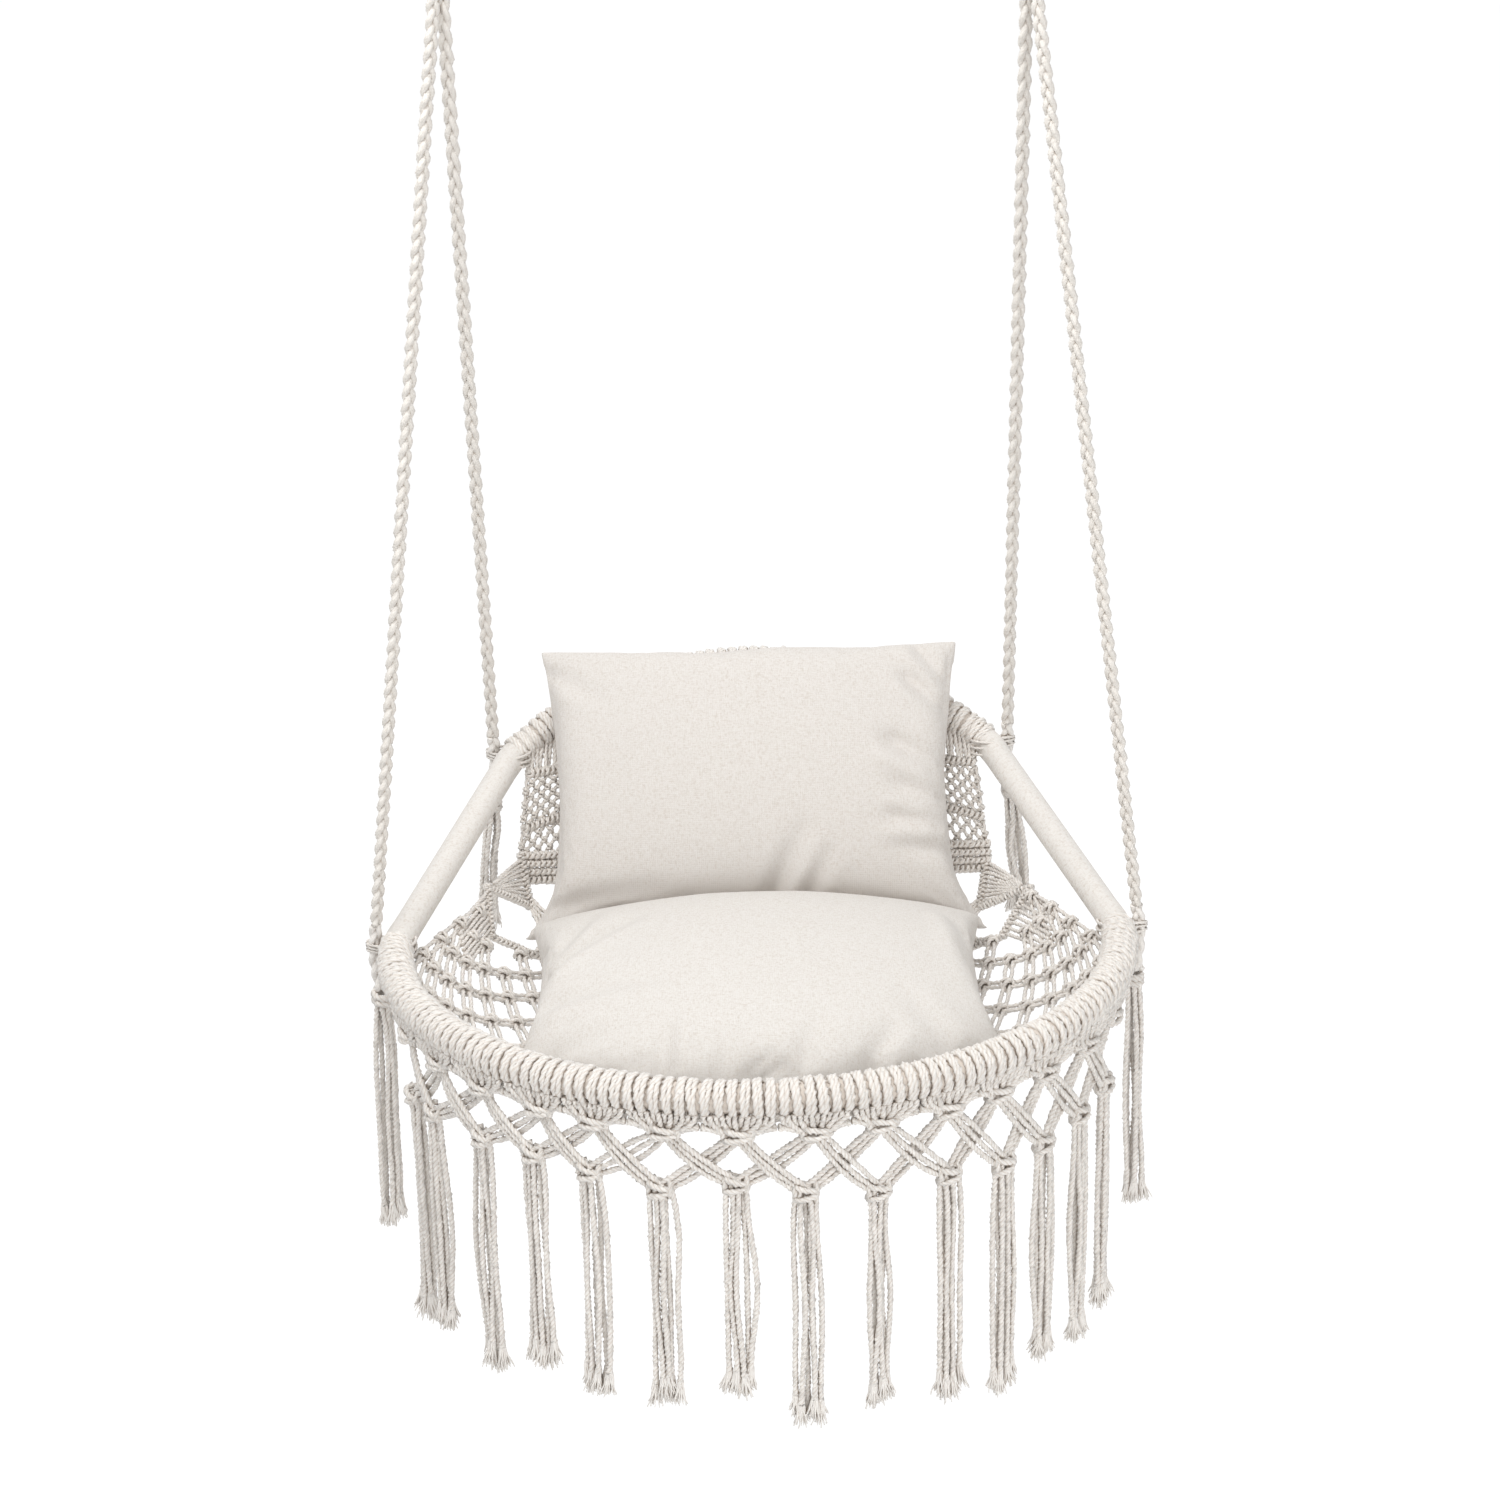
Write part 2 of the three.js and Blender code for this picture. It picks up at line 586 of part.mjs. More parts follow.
// Rope tails: the end of each rope is knotted below its corner and opens into a tassel
const TAIL_CORDS = 6;
const TAIL_SPACING = 1.05 * CORD_DIAMETER;
function tailGeometry(joint, slope, length) {
  const knotRadius = TAIL_KNOT_DIAMETER / 2;
  const knotTop = -TAIL_STUB;
  const across = new THREE.Vector3(1, 0, 0);
  const level = (z, radius) => {
    return ring(stationOn(new THREE.Vector3(0, 0, z), new THREE.Vector3(0, 0, 1), across), radius, EYE_SIDES);
  };
  const stub = loft([
    ring(stationOn(joint, slope, across), ROPE_RADIUS, EYE_SIDES),
    level(0, ROPE_RADIUS),
    level(knotTop, ROPE_RADIUS),
    level(knotTop - ROPE_RADIUS, knotRadius),
    level(knotTop - TAIL_KNOT_HEIGHT, knotRadius),
    level(knotTop - TAIL_KNOT_HEIGHT - ROPE_RADIUS, ROPE_RADIUS),
  ]);
  const cords = Array.from({ length: TAIL_CORDS }, (_, i) => {
    const spot = bundleSpot(i, TAIL_CORDS, TAIL_SPACING);
    spot.z = knotTop - TAIL_KNOT_HEIGHT + CUT_OVERRUN;
    return strand(spot, length + spot.z, spot.clone().setZ(0).multiplyScalar(TASSEL_SPREAD - 1));
  });
  return fuse([stub, ...cords]);
}
for (const [name, side] of SIDES) {
  for (const end of ['front', 'back']) {
    const [above, low] = ropePoints(side, end).slice(-2);
    const slope = above.clone().sub(low).normalize();
    const length = end === 'front' ? FRONT_TAIL_LENGTH : BACK_TAIL_LENGTH;
    const corner = ropeCorner(side, end);
    const joint = low.clone().sub(corner).addScaledVector(slope, -CLEARANCE);
    const geometry = tailGeometry(joint, slope, length);
    add(chair, `${name}_${end}_rope_tail`, geometry, cotton).position.copy(corner);
  }
}

// Fringe: gathers under the rim, crossed bundles, then knots that open into tassels
const fringeAngle = (place) => MIDDLE + (place - (FRINGE_KNOTS - 1) / 2) * FRINGE_PITCH;
const gatherAngle = (i) => fringeAngle(i + GATHER_SHIFT_SHARES[i]);
const knotAngle = (i) => fringeAngle(i + KNOT_SHIFT_SHARES[i]);
const knotDrop = (i) => LOWER_KNOT_DROP * KNOT_DROP_SHARES[i];
const GATHER_TOP = -(HEAD_RADIUS + CLEARANCE);
function onRim(angle, along, z, outward = 0) {
  const station = frontStation(angle);
  const tangent = new THREE.Vector3(Math.sin(angle), -Math.cos(angle), 0);
  return station.at.addScaledVector(station.across, outward).addScaledVector(tangent, along).setZ(z);
}
function plateOnRim(angle, outline, thickness) {
  const face = (outward) => outline.map(([along, z]) => onRim(angle, along, z, FRINGE_OUTSET + outward));
  return loft([face(-thickness / 2), face(thickness / 2)]);
}
function ribbon(points, width, thickness) {
  const rings = points.map((p, i) => {
    const before = points[Math.max(0, i - 1)];
    const after = points[Math.min(points.length - 1, i + 1)];
    const along = after.clone().sub(before).normalize();
    const outward = new THREE.Vector3(p.x, p.y, 0).normalize();
    const across = along.clone().cross(outward).normalize();
    return ring({ at: p, across, up: outward }, width / 2, BUNDLE_SIDES, thickness / 2);
  });
  return loft(rings);
}
const BUNDLE_WIDTH = 3 * CORD_DIAMETER;
const BUNDLE_SIDES = 4;
const BUNDLE_STEPS = 2;
const BUNDLE_TOP = GATHER_TOP - 0.8 * GATHER_HEIGHT;
const BUNDLE_END_RISE = 0.1 * KNOT_HEIGHT;
const BUNDLE_LIFT = 0.35 * CORD_DIAMETER;
const KNOT_SHOULDER_SHARE = 0.6;
function gather(i) {
  const half = KNOT_WIDTH / 2;
  return plateOnRim(gatherAngle(i), [
    [-GATHER_WIDTH / 2, GATHER_TOP], [GATHER_WIDTH / 2, GATHER_TOP],
    [half, GATHER_TOP - GATHER_HEIGHT / 2], [half, GATHER_TOP - GATHER_HEIGHT],
    [-half, GATHER_TOP - GATHER_HEIGHT], [-half, GATHER_TOP - GATHER_HEIGHT / 2],
  ], KNOT_THICKNESS);
}
function bundle(i, step) {
  const lift = step * BUNDLE_LIFT;
  const foot = BUNDLE_END_RISE - knotDrop(i + step);
  return ribbon(spread(0, 1, BUNDLE_STEPS).map((share) => {
    const angle = THREE.MathUtils.lerp(gatherAngle(i), knotAngle(i + step), share);
    const z = THREE.MathUtils.lerp(BUNDLE_TOP, foot, share);
    const outward = FRINGE_OUTSET + lift * Math.sin(share * Math.PI);
    return onRim(angle, 0, z, outward);
  }), BUNDLE_WIDTH, CORD_DIAMETER);
}
const knotOutline = (drop, grow) => {
  const w = KNOT_WIDTH / 2 + grow;
  const h = KNOT_HEIGHT / 2 + grow;
  const shoulder = w * KNOT_SHOULDER_SHARE;
  return [[-shoulder, h], [shoulder, h], [w, 0], [shoulder, -h], [-shoulder, -h], [-w, 0]]
    .map(([along, z]) => [along, z - drop]);
};
const lowerKnot = (i, grow = 0) => {
  return plateOnRim(knotAngle(i), knotOutline(knotDrop(i), grow), KNOT_THICKNESS + 2 * grow);
};
const latticePieces = [];
for (let i = 0; i < FRINGE_KNOTS; i++) {
  latticePieces.push(gather(i));
  if (i > 0) latticePieces.push(bundle(i, -1));
  if (i < FRINGE_KNOTS - 1) latticePieces.push(bundle(i, 1));
}
let lattice = latticePieces.map(solid).reduce((a, b) => a.add(b));
for (let i = 0; i < FRINGE_KNOTS; i++) {
  lattice = lattice.subtract(solid(lowerKnot(i, CLEARANCE)));
}
add(swing, 'fringe_lattice', geometryOf(lattice), cotton);

const TASSEL_SPACING = 0.62 * CORD_DIAMETER;
const TASSEL_STAGGER = 0.4 * CORD_DIAMETER;
function tassel(i) {
  const cords = Array.from({ length: TASSEL_CORDS }, (_, c) => {
    const along = (c - (TASSEL_CORDS - 1) / 2) * TASSEL_SPACING;
    const outward = FRINGE_OUTSET + (c % 2 ? 1 : -1) * TASSEL_STAGGER;
    const z = -knotDrop(i) - KNOT_HEIGHT / 2 + CUT_OVERRUN;
    const top = onRim(knotAngle(i), along, z, outward);
    const foot = onRim(knotAngle(i), along * TASSEL_SPREAD, z, outward);
    return strand(top, TASSEL_LENGTH * TASSEL_LENGTH_SHARES[i], foot.sub(top));
  });
  return fuse([lowerKnot(i), ...cords]);
}
for (let i = 0; i < FRINGE_KNOTS; i++) {
  add(swing, `fringe_tassel_${String(i + 1).padStart(2, '0')}`, tassel(i), cotton);
}

// Seat net: hung from the front arc, slung under the cushion and brought up to the crease bar
const SEAT_EDGE_RADIUS = RIM_RADIUS - SEAT_EDGE_INSET;
const FRONT_SAG_POWER = 3;
const REAR_SAG_POWER = 5;
const SIDE_SAG_POWER = 0.5;
const EDGE_RISE_POWER = 6;
function seatSurface(u, v) {
  const angle = u * Math.PI;
  const front = frontArc(angle, SEAT_EDGE_RADIUS, -SEAT_RIM_DROP);
  const rear = new THREE.Vector3(-CREASE_HALF_WIDTH * Math.cos(angle), CREASE_DEPTH, -CREASE_DROP);
  const point = front.lerp(rear, v);
  const power = v < 0.5 ? FRONT_SAG_POWER : REAR_SAG_POWER;
  const along = 1 - Math.abs(2 * v - 1) ** power;
  point.z -= SEAT_SAG * Math.abs(Math.sin(angle)) ** SIDE_SAG_POWER * along;
  point.z += SEAT_EDGE_RISE * Math.abs(Math.cos(angle)) ** EDGE_RISE_POWER * Math.sin(v * Math.PI);
  return point;
}
// Height of the seat net over a plan point, found by walking the surface's own lines
const SURFACE_WALKS = 12;
function seatHeight(x, y) {
  let v = 0.5;
  let u = 0.5;
  for (let k = 0; k < SURFACE_WALKS; k++) {
    const halfWidth = SEAT_EDGE_RADIUS + (CREASE_HALF_WIDTH - SEAT_EDGE_RADIUS) * v;
    u = Math.acos(THREE.MathUtils.clamp(-x / halfWidth, -1, 1)) / Math.PI;
    const frontY = -SEAT_EDGE_RADIUS * Math.sin(u * Math.PI);
    v = THREE.MathUtils.clamp((y - frontY) / (CREASE_DEPTH - frontY), 0, 1);
  }
  return seatSurface(u, v).z;
}

const OPEN_SHARE = 0.72;
// A net is a thin bent sheet of diamonds, each with an open middle unless it is hitched close
function netSheet(surface, columns, rows, isClose = () => false) {
  const step = 1e-3;
  const pair = (a, b) => {
    const p = surface(a / columns, b / rows);
    const du = surface(Math.min(1, a / columns + step), b / rows)
      .sub(surface(Math.max(0, a / columns - step), b / rows));
    const dv = surface(a / columns, Math.min(1, b / rows + step))
      .sub(surface(a / columns, Math.max(0, b / rows - step)));
    const normal = du.cross(dv).normalize();
    return [1, -1].map((s) => p.clone().addScaledVector(normal, (s * NET_THICKNESS) / 2));
  };
  const points = [];
  const triangles = [];
  const known = new Map();
  const node = (a, b) => {
    const key = `${a.toFixed(4)},${b.toFixed(4)}`;
    if (!known.has(key)) {
      known.set(key, points.length);
      points.push(...pair(a, b));
    }
    return known.get(key);
  };
  const quad = (a, b, c, d) => triangles.push([a, b, c], [a, c, d]);
  const edges = new Map();
  for (let i = 1; i < columns; i++) {
    for (let j = 1; j < rows; j++) {
      if ((i + j) % 2) continue;
      const around = [[1, 0], [0, 1], [-1, 0], [0, -1]];
      const outer = around.map(([a, b]) => node(i + a, j + b));
      const close = isClose(i, j);
      const inner = close ? [] : around.map(([a, b]) => node(i + a * OPEN_SHARE, j + b * OPEN_SHARE));
      if (close) {
        quad(...outer);
        quad(...outer.map((corner) => corner + 1).reverse());
      }
      for (let k = 0; k < 4; k++) {
        const n = (k + 1) % 4;
        if (!close) {
          quad(outer[k], outer[n], inner[n], inner[k]);
          quad(outer[n] + 1, outer[k] + 1, inner[k] + 1, inner[n] + 1);
          quad(inner[k], inner[n], inner[n] + 1, inner[k] + 1);
        }
        const back = `${outer[n]},${outer[k]}`;
        if (edges.has(back)) edges.delete(back);
        else edges.set(`${outer[k]},${outer[n]}`, [outer[k], outer[n]]);
      }
    }
  }
  for (const [a, b] of edges.values()) {
    quad(b, a, a + 1, b + 1);
  }
  return closedGeometry(points, triangles);
}
// Leaves of close hitches lie at the rear corners of the seat net
const LEAF_CELLS = [[1, 7], [1, 9], [2, 8]];
const isLeaf = (i, j) => LEAF_CELLS.some(([a, b]) => Math.min(i, SEAT_COLUMNS - i) === a && j === b);
const SEAT_EDGE_SHARE = 0.012;
const CREASE_SLOPE_SHARE = 0.62;
const BAR_GAP = HITCH_BAR / 2 + CLEARANCE;
const seatNetSurface = (u, v) => {
  const across = SEAT_EDGE_SHARE + (1 - 2 * SEAT_EDGE_SHARE) * u;
  const length = seatSurface(across, 0).distanceTo(seatSurface(across, 1));
  return seatSurface(across, v * (1 - (BAR_GAP * CREASE_SLOPE_SHARE) / length));
};
add(swing, 'seat_net', netSheet(seatNetSurface, SEAT_COLUMNS, SEAT_ROWS, isLeaf), cotton);

// Back net: hung from the back arc down to the crease bar, with a hitched bar across it
const BAR_SHARE = 0.3;
const BAR_BOW = 0.9;
const BACK_EDGE_SHARE = 0.035;
// The line down the net at a share of its width, from the arc to the crease bar
function backLine(share) {
  const angle = (2 * (BACK_EDGE_SHARE + (1 - 2 * BACK_EDGE_SHARE) * share) - 1) * BACK_HALF_ANGLE;
  const arc = backStation(angle);
  const top = arc.at.clone().addScaledVector(arc.across, -BACK_NET_INSET);
  const x = (CREASE_HALF_WIDTH * Math.sin(angle)) / Math.sin(BACK_HALF_ANGLE);
  return [top, new THREE.Vector3(x, CREASE_DEPTH, -CREASE_DROP)];
}
const backPart = (from, to, startGap, endGap) => (u, v) => {
  const [top, foot] = backLine(u);
  const length = top.distanceTo(foot);
  const start = from + startGap / length;
  const end = to - endGap / length;
  return top.lerp(foot, start + (end - start) * v);
};
const upperPart = backPart(0, BAR_SHARE, 0, BAR_GAP);
const lowerPart = backPart(BAR_SHARE, 1, BAR_GAP + BAR_BOW, BAR_GAP);
add(swing, 'back_net_upper', netSheet(upperPart, BACK_COLUMNS, UPPER_ROWS), cotton);
add(swing, 'back_net_lower', netSheet(lowerPart, BACK_COLUMNS, LOWER_ROWS), cotton);
const BAR_STEPS = 10;
function hitchBar(share) {
  const points = spread(0, 1, BAR_STEPS).map((u) => backPart(0, 1, 0, 0)(u, share));
  const path = new THREE.CatmullRomCurve3(points, false, 'centripetal');
  return rod(path, HITCH_BAR / 2, WRAP_SIDES, BAR_STEPS);
}
add(swing, 'back_hitch_bar', hitchBar(BAR_SHARE), cotton);
add(swing, 'crease_hitch_bar', hitchBar(1), cotton);

// Cushions: a crowned cover, its wadding and its zip. The filling draws in the sides and the ends between
// the corners, by these shares of half the width and half the depth
const CROWN_POWER = 0.45;
const SEAT_WAIST_SHARES = [0.09, 0.05];
const BACK_WAIST_SHARES = [0.06, 0.07];
function cushionForm(halfWidthAt, halfDepth, crown, belly, waistShares, steps, place) {
  const [sideShare, endShare] = waistShares;
  const share = (k) => Math.sin(((2 * k) / steps - 1) * MIDDLE);
  const points = [];
  const index = new Map();
  const vertex = (i, j, top) => {
    const rim = i === 0 || j === 0 || i === steps || j === steps;
    const key = `${i},${j},${rim ? 'seam' : top}`;
    if (!index.has(key)) {
      const u = share(i);
      const v = share(j);
      const x = halfWidthAt(v) * u * (1 - sideShare * (1 - v * v));
      const y = halfDepth * v * (1 - endShare * (1 - u * u));
      const puff = rim ? 0 : ((1 - u * u) * (1 - v * v)) ** CROWN_POWER;
      index.set(key, points.length);
      points.push(place(x, y, top ? crown * puff : -belly * puff, top && !rim));
    }
    return index.get(key);
  };
  const triangles = [];
  for (let i = 0; i < steps; i++) {
    for (let j = 0; j < steps; j++) {
      for (const top of [true, false]) {
        const [a, b, c, d] = [[i, j], [i + 1, j], [i + 1, j + 1], [i, j + 1]]
          .map(([p, q]) => vertex(p, q, top));
        const turnCorner = (i + 1 <= steps / 2) === (j + 1 <= steps / 2);
        const faces = turnCorner ? [[a, b, d], [b, c, d]] : [[a, b, c], [a, c, d]];
        triangles.push(...(top ? faces : faces.map(([p, q, r]) => [r, q, p])));
      }
    }
  }
  return closedGeometry(points, triangles);
}

// The seat cushion lies on the net, and its front follows the rim from corner to corner
const SEAT_CUSHION_LIMIT = RIM_RADIUS - HEAD_RADIUS - SEAT_CUSHION_MARGIN;
function seatCushion(shrink, steps) {
  const halfDepth = SEAT_CUSHION_DEPTH / 2 - shrink;
  const place = (x, y, z, top) => {
    const room = Math.sqrt((SEAT_CUSHION_LIMIT - shrink) ** 2 - x ** 2) + SEAT_CUSHION_CENTRE_Y;
    const squeeze = y < 0 ? Math.min(1, room / halfDepth) : 1;
    const p = new THREE.Vector3(x, y * squeeze + SEAT_CUSHION_CENTRE_Y, 0);
    const floor = seatHeight(p.x, p.y) + NET_THICKNESS / 2 + NET_BOW + CUSHION_REST_GAP + shrink;
    const height = SEAT_CUSHION_SEAM_Z + z;
    return p.setZ(top ? height : Math.max(height, floor));
  };
  return cushionForm(() => SEAT_CUSHION_WIDTH / 2 - shrink, halfDepth,
    SEAT_CUSHION_CROWN - shrink, SEAT_CUSHION_BELLY - shrink, SEAT_WAIST_SHARES, steps, place);
}

// The back cushion stands behind the seat cushion and leans on the back rim and the crease bar.
// Its own axes: x across, up the lean, and back, square to both.
const LEAN_UP = new THREE.Vector3(0, Math.sin(BACK_CUSHION_LEAN), Math.cos(BACK_CUSHION_LEAN));
const LEAN_BACK = new THREE.Vector3(0, Math.cos(BACK_CUSHION_LEAN), -Math.sin(BACK_CUSHION_LEAN));
const BACK_CUSHION_BASE = new THREE.Vector3(0, BACK_CUSHION_BASE_Y, BACK_CUSHION_BASE_Z);
function behindCushion(point, radius) {
  const offset = point.clone().sub(BACK_CUSHION_BASE);
  return { height: offset.dot(LEAN_UP), depth: offset.dot(LEAN_BACK) - radius - CLEARANCE };
}
// How thick the cushion may be behind its seam at a height up the lean
function backRoom(x, height) {
  const angle = Math.asin(THREE.MathUtils.clamp(x, -BACK_HALF_WIDTH, BACK_HALF_WIDTH) / RIM_RADIUS);
  const rim = behindCushion(backStation(angle).at, HEAD_RADIUS * Math.cos(Math.PI / WRAP_SIDES));
  const bar = behindCushion(new THREE.Vector3(0, CREASE_DEPTH, -CREASE_DROP), HITCH_BAR / 2);
  const share = THREE.MathUtils.clamp((height - bar.height) / (rim.height - bar.height), 0, 1);
  return bar.depth + (rim.depth - bar.depth) * share;
}
function backCushion(shrink, steps) {
  const halfWidthAt = (v) => {
    const width = BACK_CUSHION_BASE_WIDTH
      + ((BACK_CUSHION_TOP_WIDTH - BACK_CUSHION_BASE_WIDTH) * (v + 1)) / 2;
    return width / 2 - shrink;
  };
  const place = (x, y, z) => {
    const height = y + BACK_CUSHION_HEIGHT / 2;
    const behind = Math.min(-z, backRoom(x, height) - shrink);
    return BACK_CUSHION_BASE.clone().setX(x)
      .addScaledVector(LEAN_UP, height)
      .addScaledVector(LEAN_BACK, behind);
  };
  return cushionForm(halfWidthAt, BACK_CUSHION_HEIGHT / 2 - shrink,
    BACK_CUSHION_CROWN - shrink, BACK_CUSHION_REAR - shrink, BACK_WAIST_SHARES, steps, place);
}

// The zip closes a slit in the cover, low on the side that does not show
function addCushion(name, form, slitAt) {
  const outer = solid(form(0, CUSHION_STEPS));
  const inner = solid(form(COVER_THICKNESS, CUSHION_STEPS));
  const shell = outer.subtract(inner);
  const box = (length, width) => {
    const geometry = new THREE.BoxGeometry(length, width, slitAt.reach);
    geometry.applyMatrix4(slitAt.matrix);
    return solid(geometry);
  };
  add(swing, `${name}_cover`, geometryOf(shell.subtract(box(ZIP_LENGTH, ZIP_WIDTH))), linen);
  const closed = box(ZIP_LENGTH - 2 * CLEARANCE, ZIP_WIDTH - 2 * CLEARANCE);
  add(swing, `${name}_zip`, geometryOf(shell.intersect(closed)), tape);
  add(swing, `${name}_wadding`, form(COVER_THICKNESS + CLEARANCE, CUSHION_STEPS), wadding);
}
const ZIP_INSET = 60;
const seatSlit = new THREE.Matrix4().makeTranslation(
  0, SEAT_CUSHION_CENTRE_Y + SEAT_CUSHION_DEPTH / 2 - ZIP_INSET, SEAT_CUSHION_SEAM_Z - SEAT_CUSHION_BELLY / 2,
);
addCushion('seat_cushion', seatCushion, { matrix: seatSlit, reach: SEAT_CUSHION_BELLY });
const backSlit = new THREE.Matrix4()
  .makeRotationX(BACK_CUSHION_LEAN - MIDDLE)
  .setPosition(
    new THREE.Vector3(0, BACK_CUSHION_BASE_Y, BACK_CUSHION_BASE_Z)
      .addScaledVector(LEAN_UP, ZIP_INSET)
      .addScaledVector(LEAN_BACK, BACK_CUSHION_REAR / 2),
  );
addCushion('back_cushion', backCushion, { matrix: backSlit, reach: BACK_CUSHION_REAR });

export default chair;
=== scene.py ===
"""Hammock chair: knotted cotton cord on a steel rim, hung on four braided ropes, with two linen cushions."""

import json
import math

import bpy
import numpy as np
from mathutils import Matrix, Vector
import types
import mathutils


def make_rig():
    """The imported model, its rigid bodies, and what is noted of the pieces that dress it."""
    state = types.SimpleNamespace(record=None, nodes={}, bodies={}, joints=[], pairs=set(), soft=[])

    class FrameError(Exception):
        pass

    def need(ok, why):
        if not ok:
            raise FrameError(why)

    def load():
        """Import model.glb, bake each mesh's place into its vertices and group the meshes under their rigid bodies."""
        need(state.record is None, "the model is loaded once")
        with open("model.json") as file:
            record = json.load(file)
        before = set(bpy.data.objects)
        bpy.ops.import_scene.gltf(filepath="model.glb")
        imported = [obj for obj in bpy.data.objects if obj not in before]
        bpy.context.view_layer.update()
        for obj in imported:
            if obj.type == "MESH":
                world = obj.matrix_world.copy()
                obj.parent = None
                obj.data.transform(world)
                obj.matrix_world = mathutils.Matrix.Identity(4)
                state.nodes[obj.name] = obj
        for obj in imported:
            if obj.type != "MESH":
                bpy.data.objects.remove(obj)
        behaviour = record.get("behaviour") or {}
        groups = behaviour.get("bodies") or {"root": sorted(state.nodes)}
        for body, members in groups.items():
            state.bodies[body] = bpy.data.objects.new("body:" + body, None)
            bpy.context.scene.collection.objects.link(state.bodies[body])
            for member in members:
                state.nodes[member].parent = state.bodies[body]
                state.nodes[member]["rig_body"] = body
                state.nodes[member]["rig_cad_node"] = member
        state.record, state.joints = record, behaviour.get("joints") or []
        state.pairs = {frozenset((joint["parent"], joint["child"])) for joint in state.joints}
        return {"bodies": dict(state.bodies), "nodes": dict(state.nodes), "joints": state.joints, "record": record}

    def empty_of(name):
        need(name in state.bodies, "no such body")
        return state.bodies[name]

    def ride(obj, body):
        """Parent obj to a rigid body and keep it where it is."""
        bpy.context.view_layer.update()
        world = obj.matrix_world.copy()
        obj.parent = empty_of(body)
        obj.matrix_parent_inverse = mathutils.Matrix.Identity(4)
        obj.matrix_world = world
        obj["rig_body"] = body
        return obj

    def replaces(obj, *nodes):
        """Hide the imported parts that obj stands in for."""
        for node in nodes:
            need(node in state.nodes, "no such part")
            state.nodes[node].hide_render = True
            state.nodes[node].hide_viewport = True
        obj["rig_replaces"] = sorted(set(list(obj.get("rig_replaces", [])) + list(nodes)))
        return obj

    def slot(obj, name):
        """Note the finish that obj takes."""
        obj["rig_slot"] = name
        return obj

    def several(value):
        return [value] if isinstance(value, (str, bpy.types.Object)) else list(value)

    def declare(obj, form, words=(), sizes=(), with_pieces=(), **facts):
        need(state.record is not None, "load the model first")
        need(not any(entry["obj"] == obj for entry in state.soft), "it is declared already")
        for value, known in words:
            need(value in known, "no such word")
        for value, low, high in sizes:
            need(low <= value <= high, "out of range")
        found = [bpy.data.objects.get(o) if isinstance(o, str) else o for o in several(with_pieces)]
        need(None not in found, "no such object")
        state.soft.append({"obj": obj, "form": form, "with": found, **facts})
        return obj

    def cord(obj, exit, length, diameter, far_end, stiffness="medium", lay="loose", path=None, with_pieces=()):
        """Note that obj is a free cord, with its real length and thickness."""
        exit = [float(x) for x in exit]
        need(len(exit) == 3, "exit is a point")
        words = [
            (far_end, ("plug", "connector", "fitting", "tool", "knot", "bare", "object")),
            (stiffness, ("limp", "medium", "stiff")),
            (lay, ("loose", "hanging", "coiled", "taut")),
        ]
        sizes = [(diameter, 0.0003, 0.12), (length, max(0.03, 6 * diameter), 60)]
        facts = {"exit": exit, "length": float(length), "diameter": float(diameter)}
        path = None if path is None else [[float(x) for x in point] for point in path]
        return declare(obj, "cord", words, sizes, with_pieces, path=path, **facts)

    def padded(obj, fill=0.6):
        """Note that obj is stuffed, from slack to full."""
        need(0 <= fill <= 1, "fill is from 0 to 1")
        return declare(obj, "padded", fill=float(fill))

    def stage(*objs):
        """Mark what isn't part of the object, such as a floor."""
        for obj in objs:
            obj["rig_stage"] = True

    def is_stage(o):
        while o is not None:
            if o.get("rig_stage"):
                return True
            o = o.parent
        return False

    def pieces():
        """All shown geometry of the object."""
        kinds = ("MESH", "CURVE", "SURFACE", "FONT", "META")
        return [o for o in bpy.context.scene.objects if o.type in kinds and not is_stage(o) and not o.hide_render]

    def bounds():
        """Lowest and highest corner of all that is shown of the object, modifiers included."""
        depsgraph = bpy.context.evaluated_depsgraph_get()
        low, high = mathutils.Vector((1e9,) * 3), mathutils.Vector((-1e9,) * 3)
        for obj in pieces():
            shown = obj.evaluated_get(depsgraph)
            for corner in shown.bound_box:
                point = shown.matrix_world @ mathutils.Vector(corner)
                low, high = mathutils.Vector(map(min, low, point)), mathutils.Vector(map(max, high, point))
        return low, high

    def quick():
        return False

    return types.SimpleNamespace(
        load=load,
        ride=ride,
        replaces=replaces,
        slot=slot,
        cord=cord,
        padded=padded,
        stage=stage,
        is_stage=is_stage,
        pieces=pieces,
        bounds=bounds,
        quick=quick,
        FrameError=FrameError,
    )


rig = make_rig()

bl_info = {
    "name": "Hammock Chair",
    "version": (1, 0, 0),
    "blender": (4, 5, 0),
    "location": "View3D > Sidebar > Hammock",
    "description": "Makes the pieces of a knotted hammock chair round its packed frame",
    "category": "Add Mesh",
}

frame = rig.load()
CAD_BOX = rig.bounds()

# Lengths are in millimetres until a mesh is made. The seat's own zero is midway between its front corners
MM = 0.001
SWING = np.array([0.0, -6.0, -1134.0])
HANG_POINTS = np.zeros(3)

RIM_RADIUS = 385
TUBE_RADIUS = 12.5
BACK_HALF_WIDTH = 269
BACK_CORNER = np.array([269.0, 254.0, 119.0])
BACK_TILT = math.radians(44)
BINDING_RADIUS = 19.5
BINDING_REACH = 34
LASHED_RADIUS = 16.6
ROPE_RADIUS = 6.5
CLEARANCE = 0.3

HANG_HALF_WIDTH = 285
RING_RADIUS = 29
RING_ROD = 8
RING_CENTRE_Z = -25
PIVOT_Z = -54
WHIPPING_DROP = 34
WHIPPING_HEIGHT = 40
PAIR_TURN = math.radians(40)
PAIR_HALF = ROPE_RADIUS + CLEARANCE / 2
ROPE_RUN_IN = 24
ROPE_CORNER_RISE = 24
BACK_ROPE_TURN = math.radians(17)

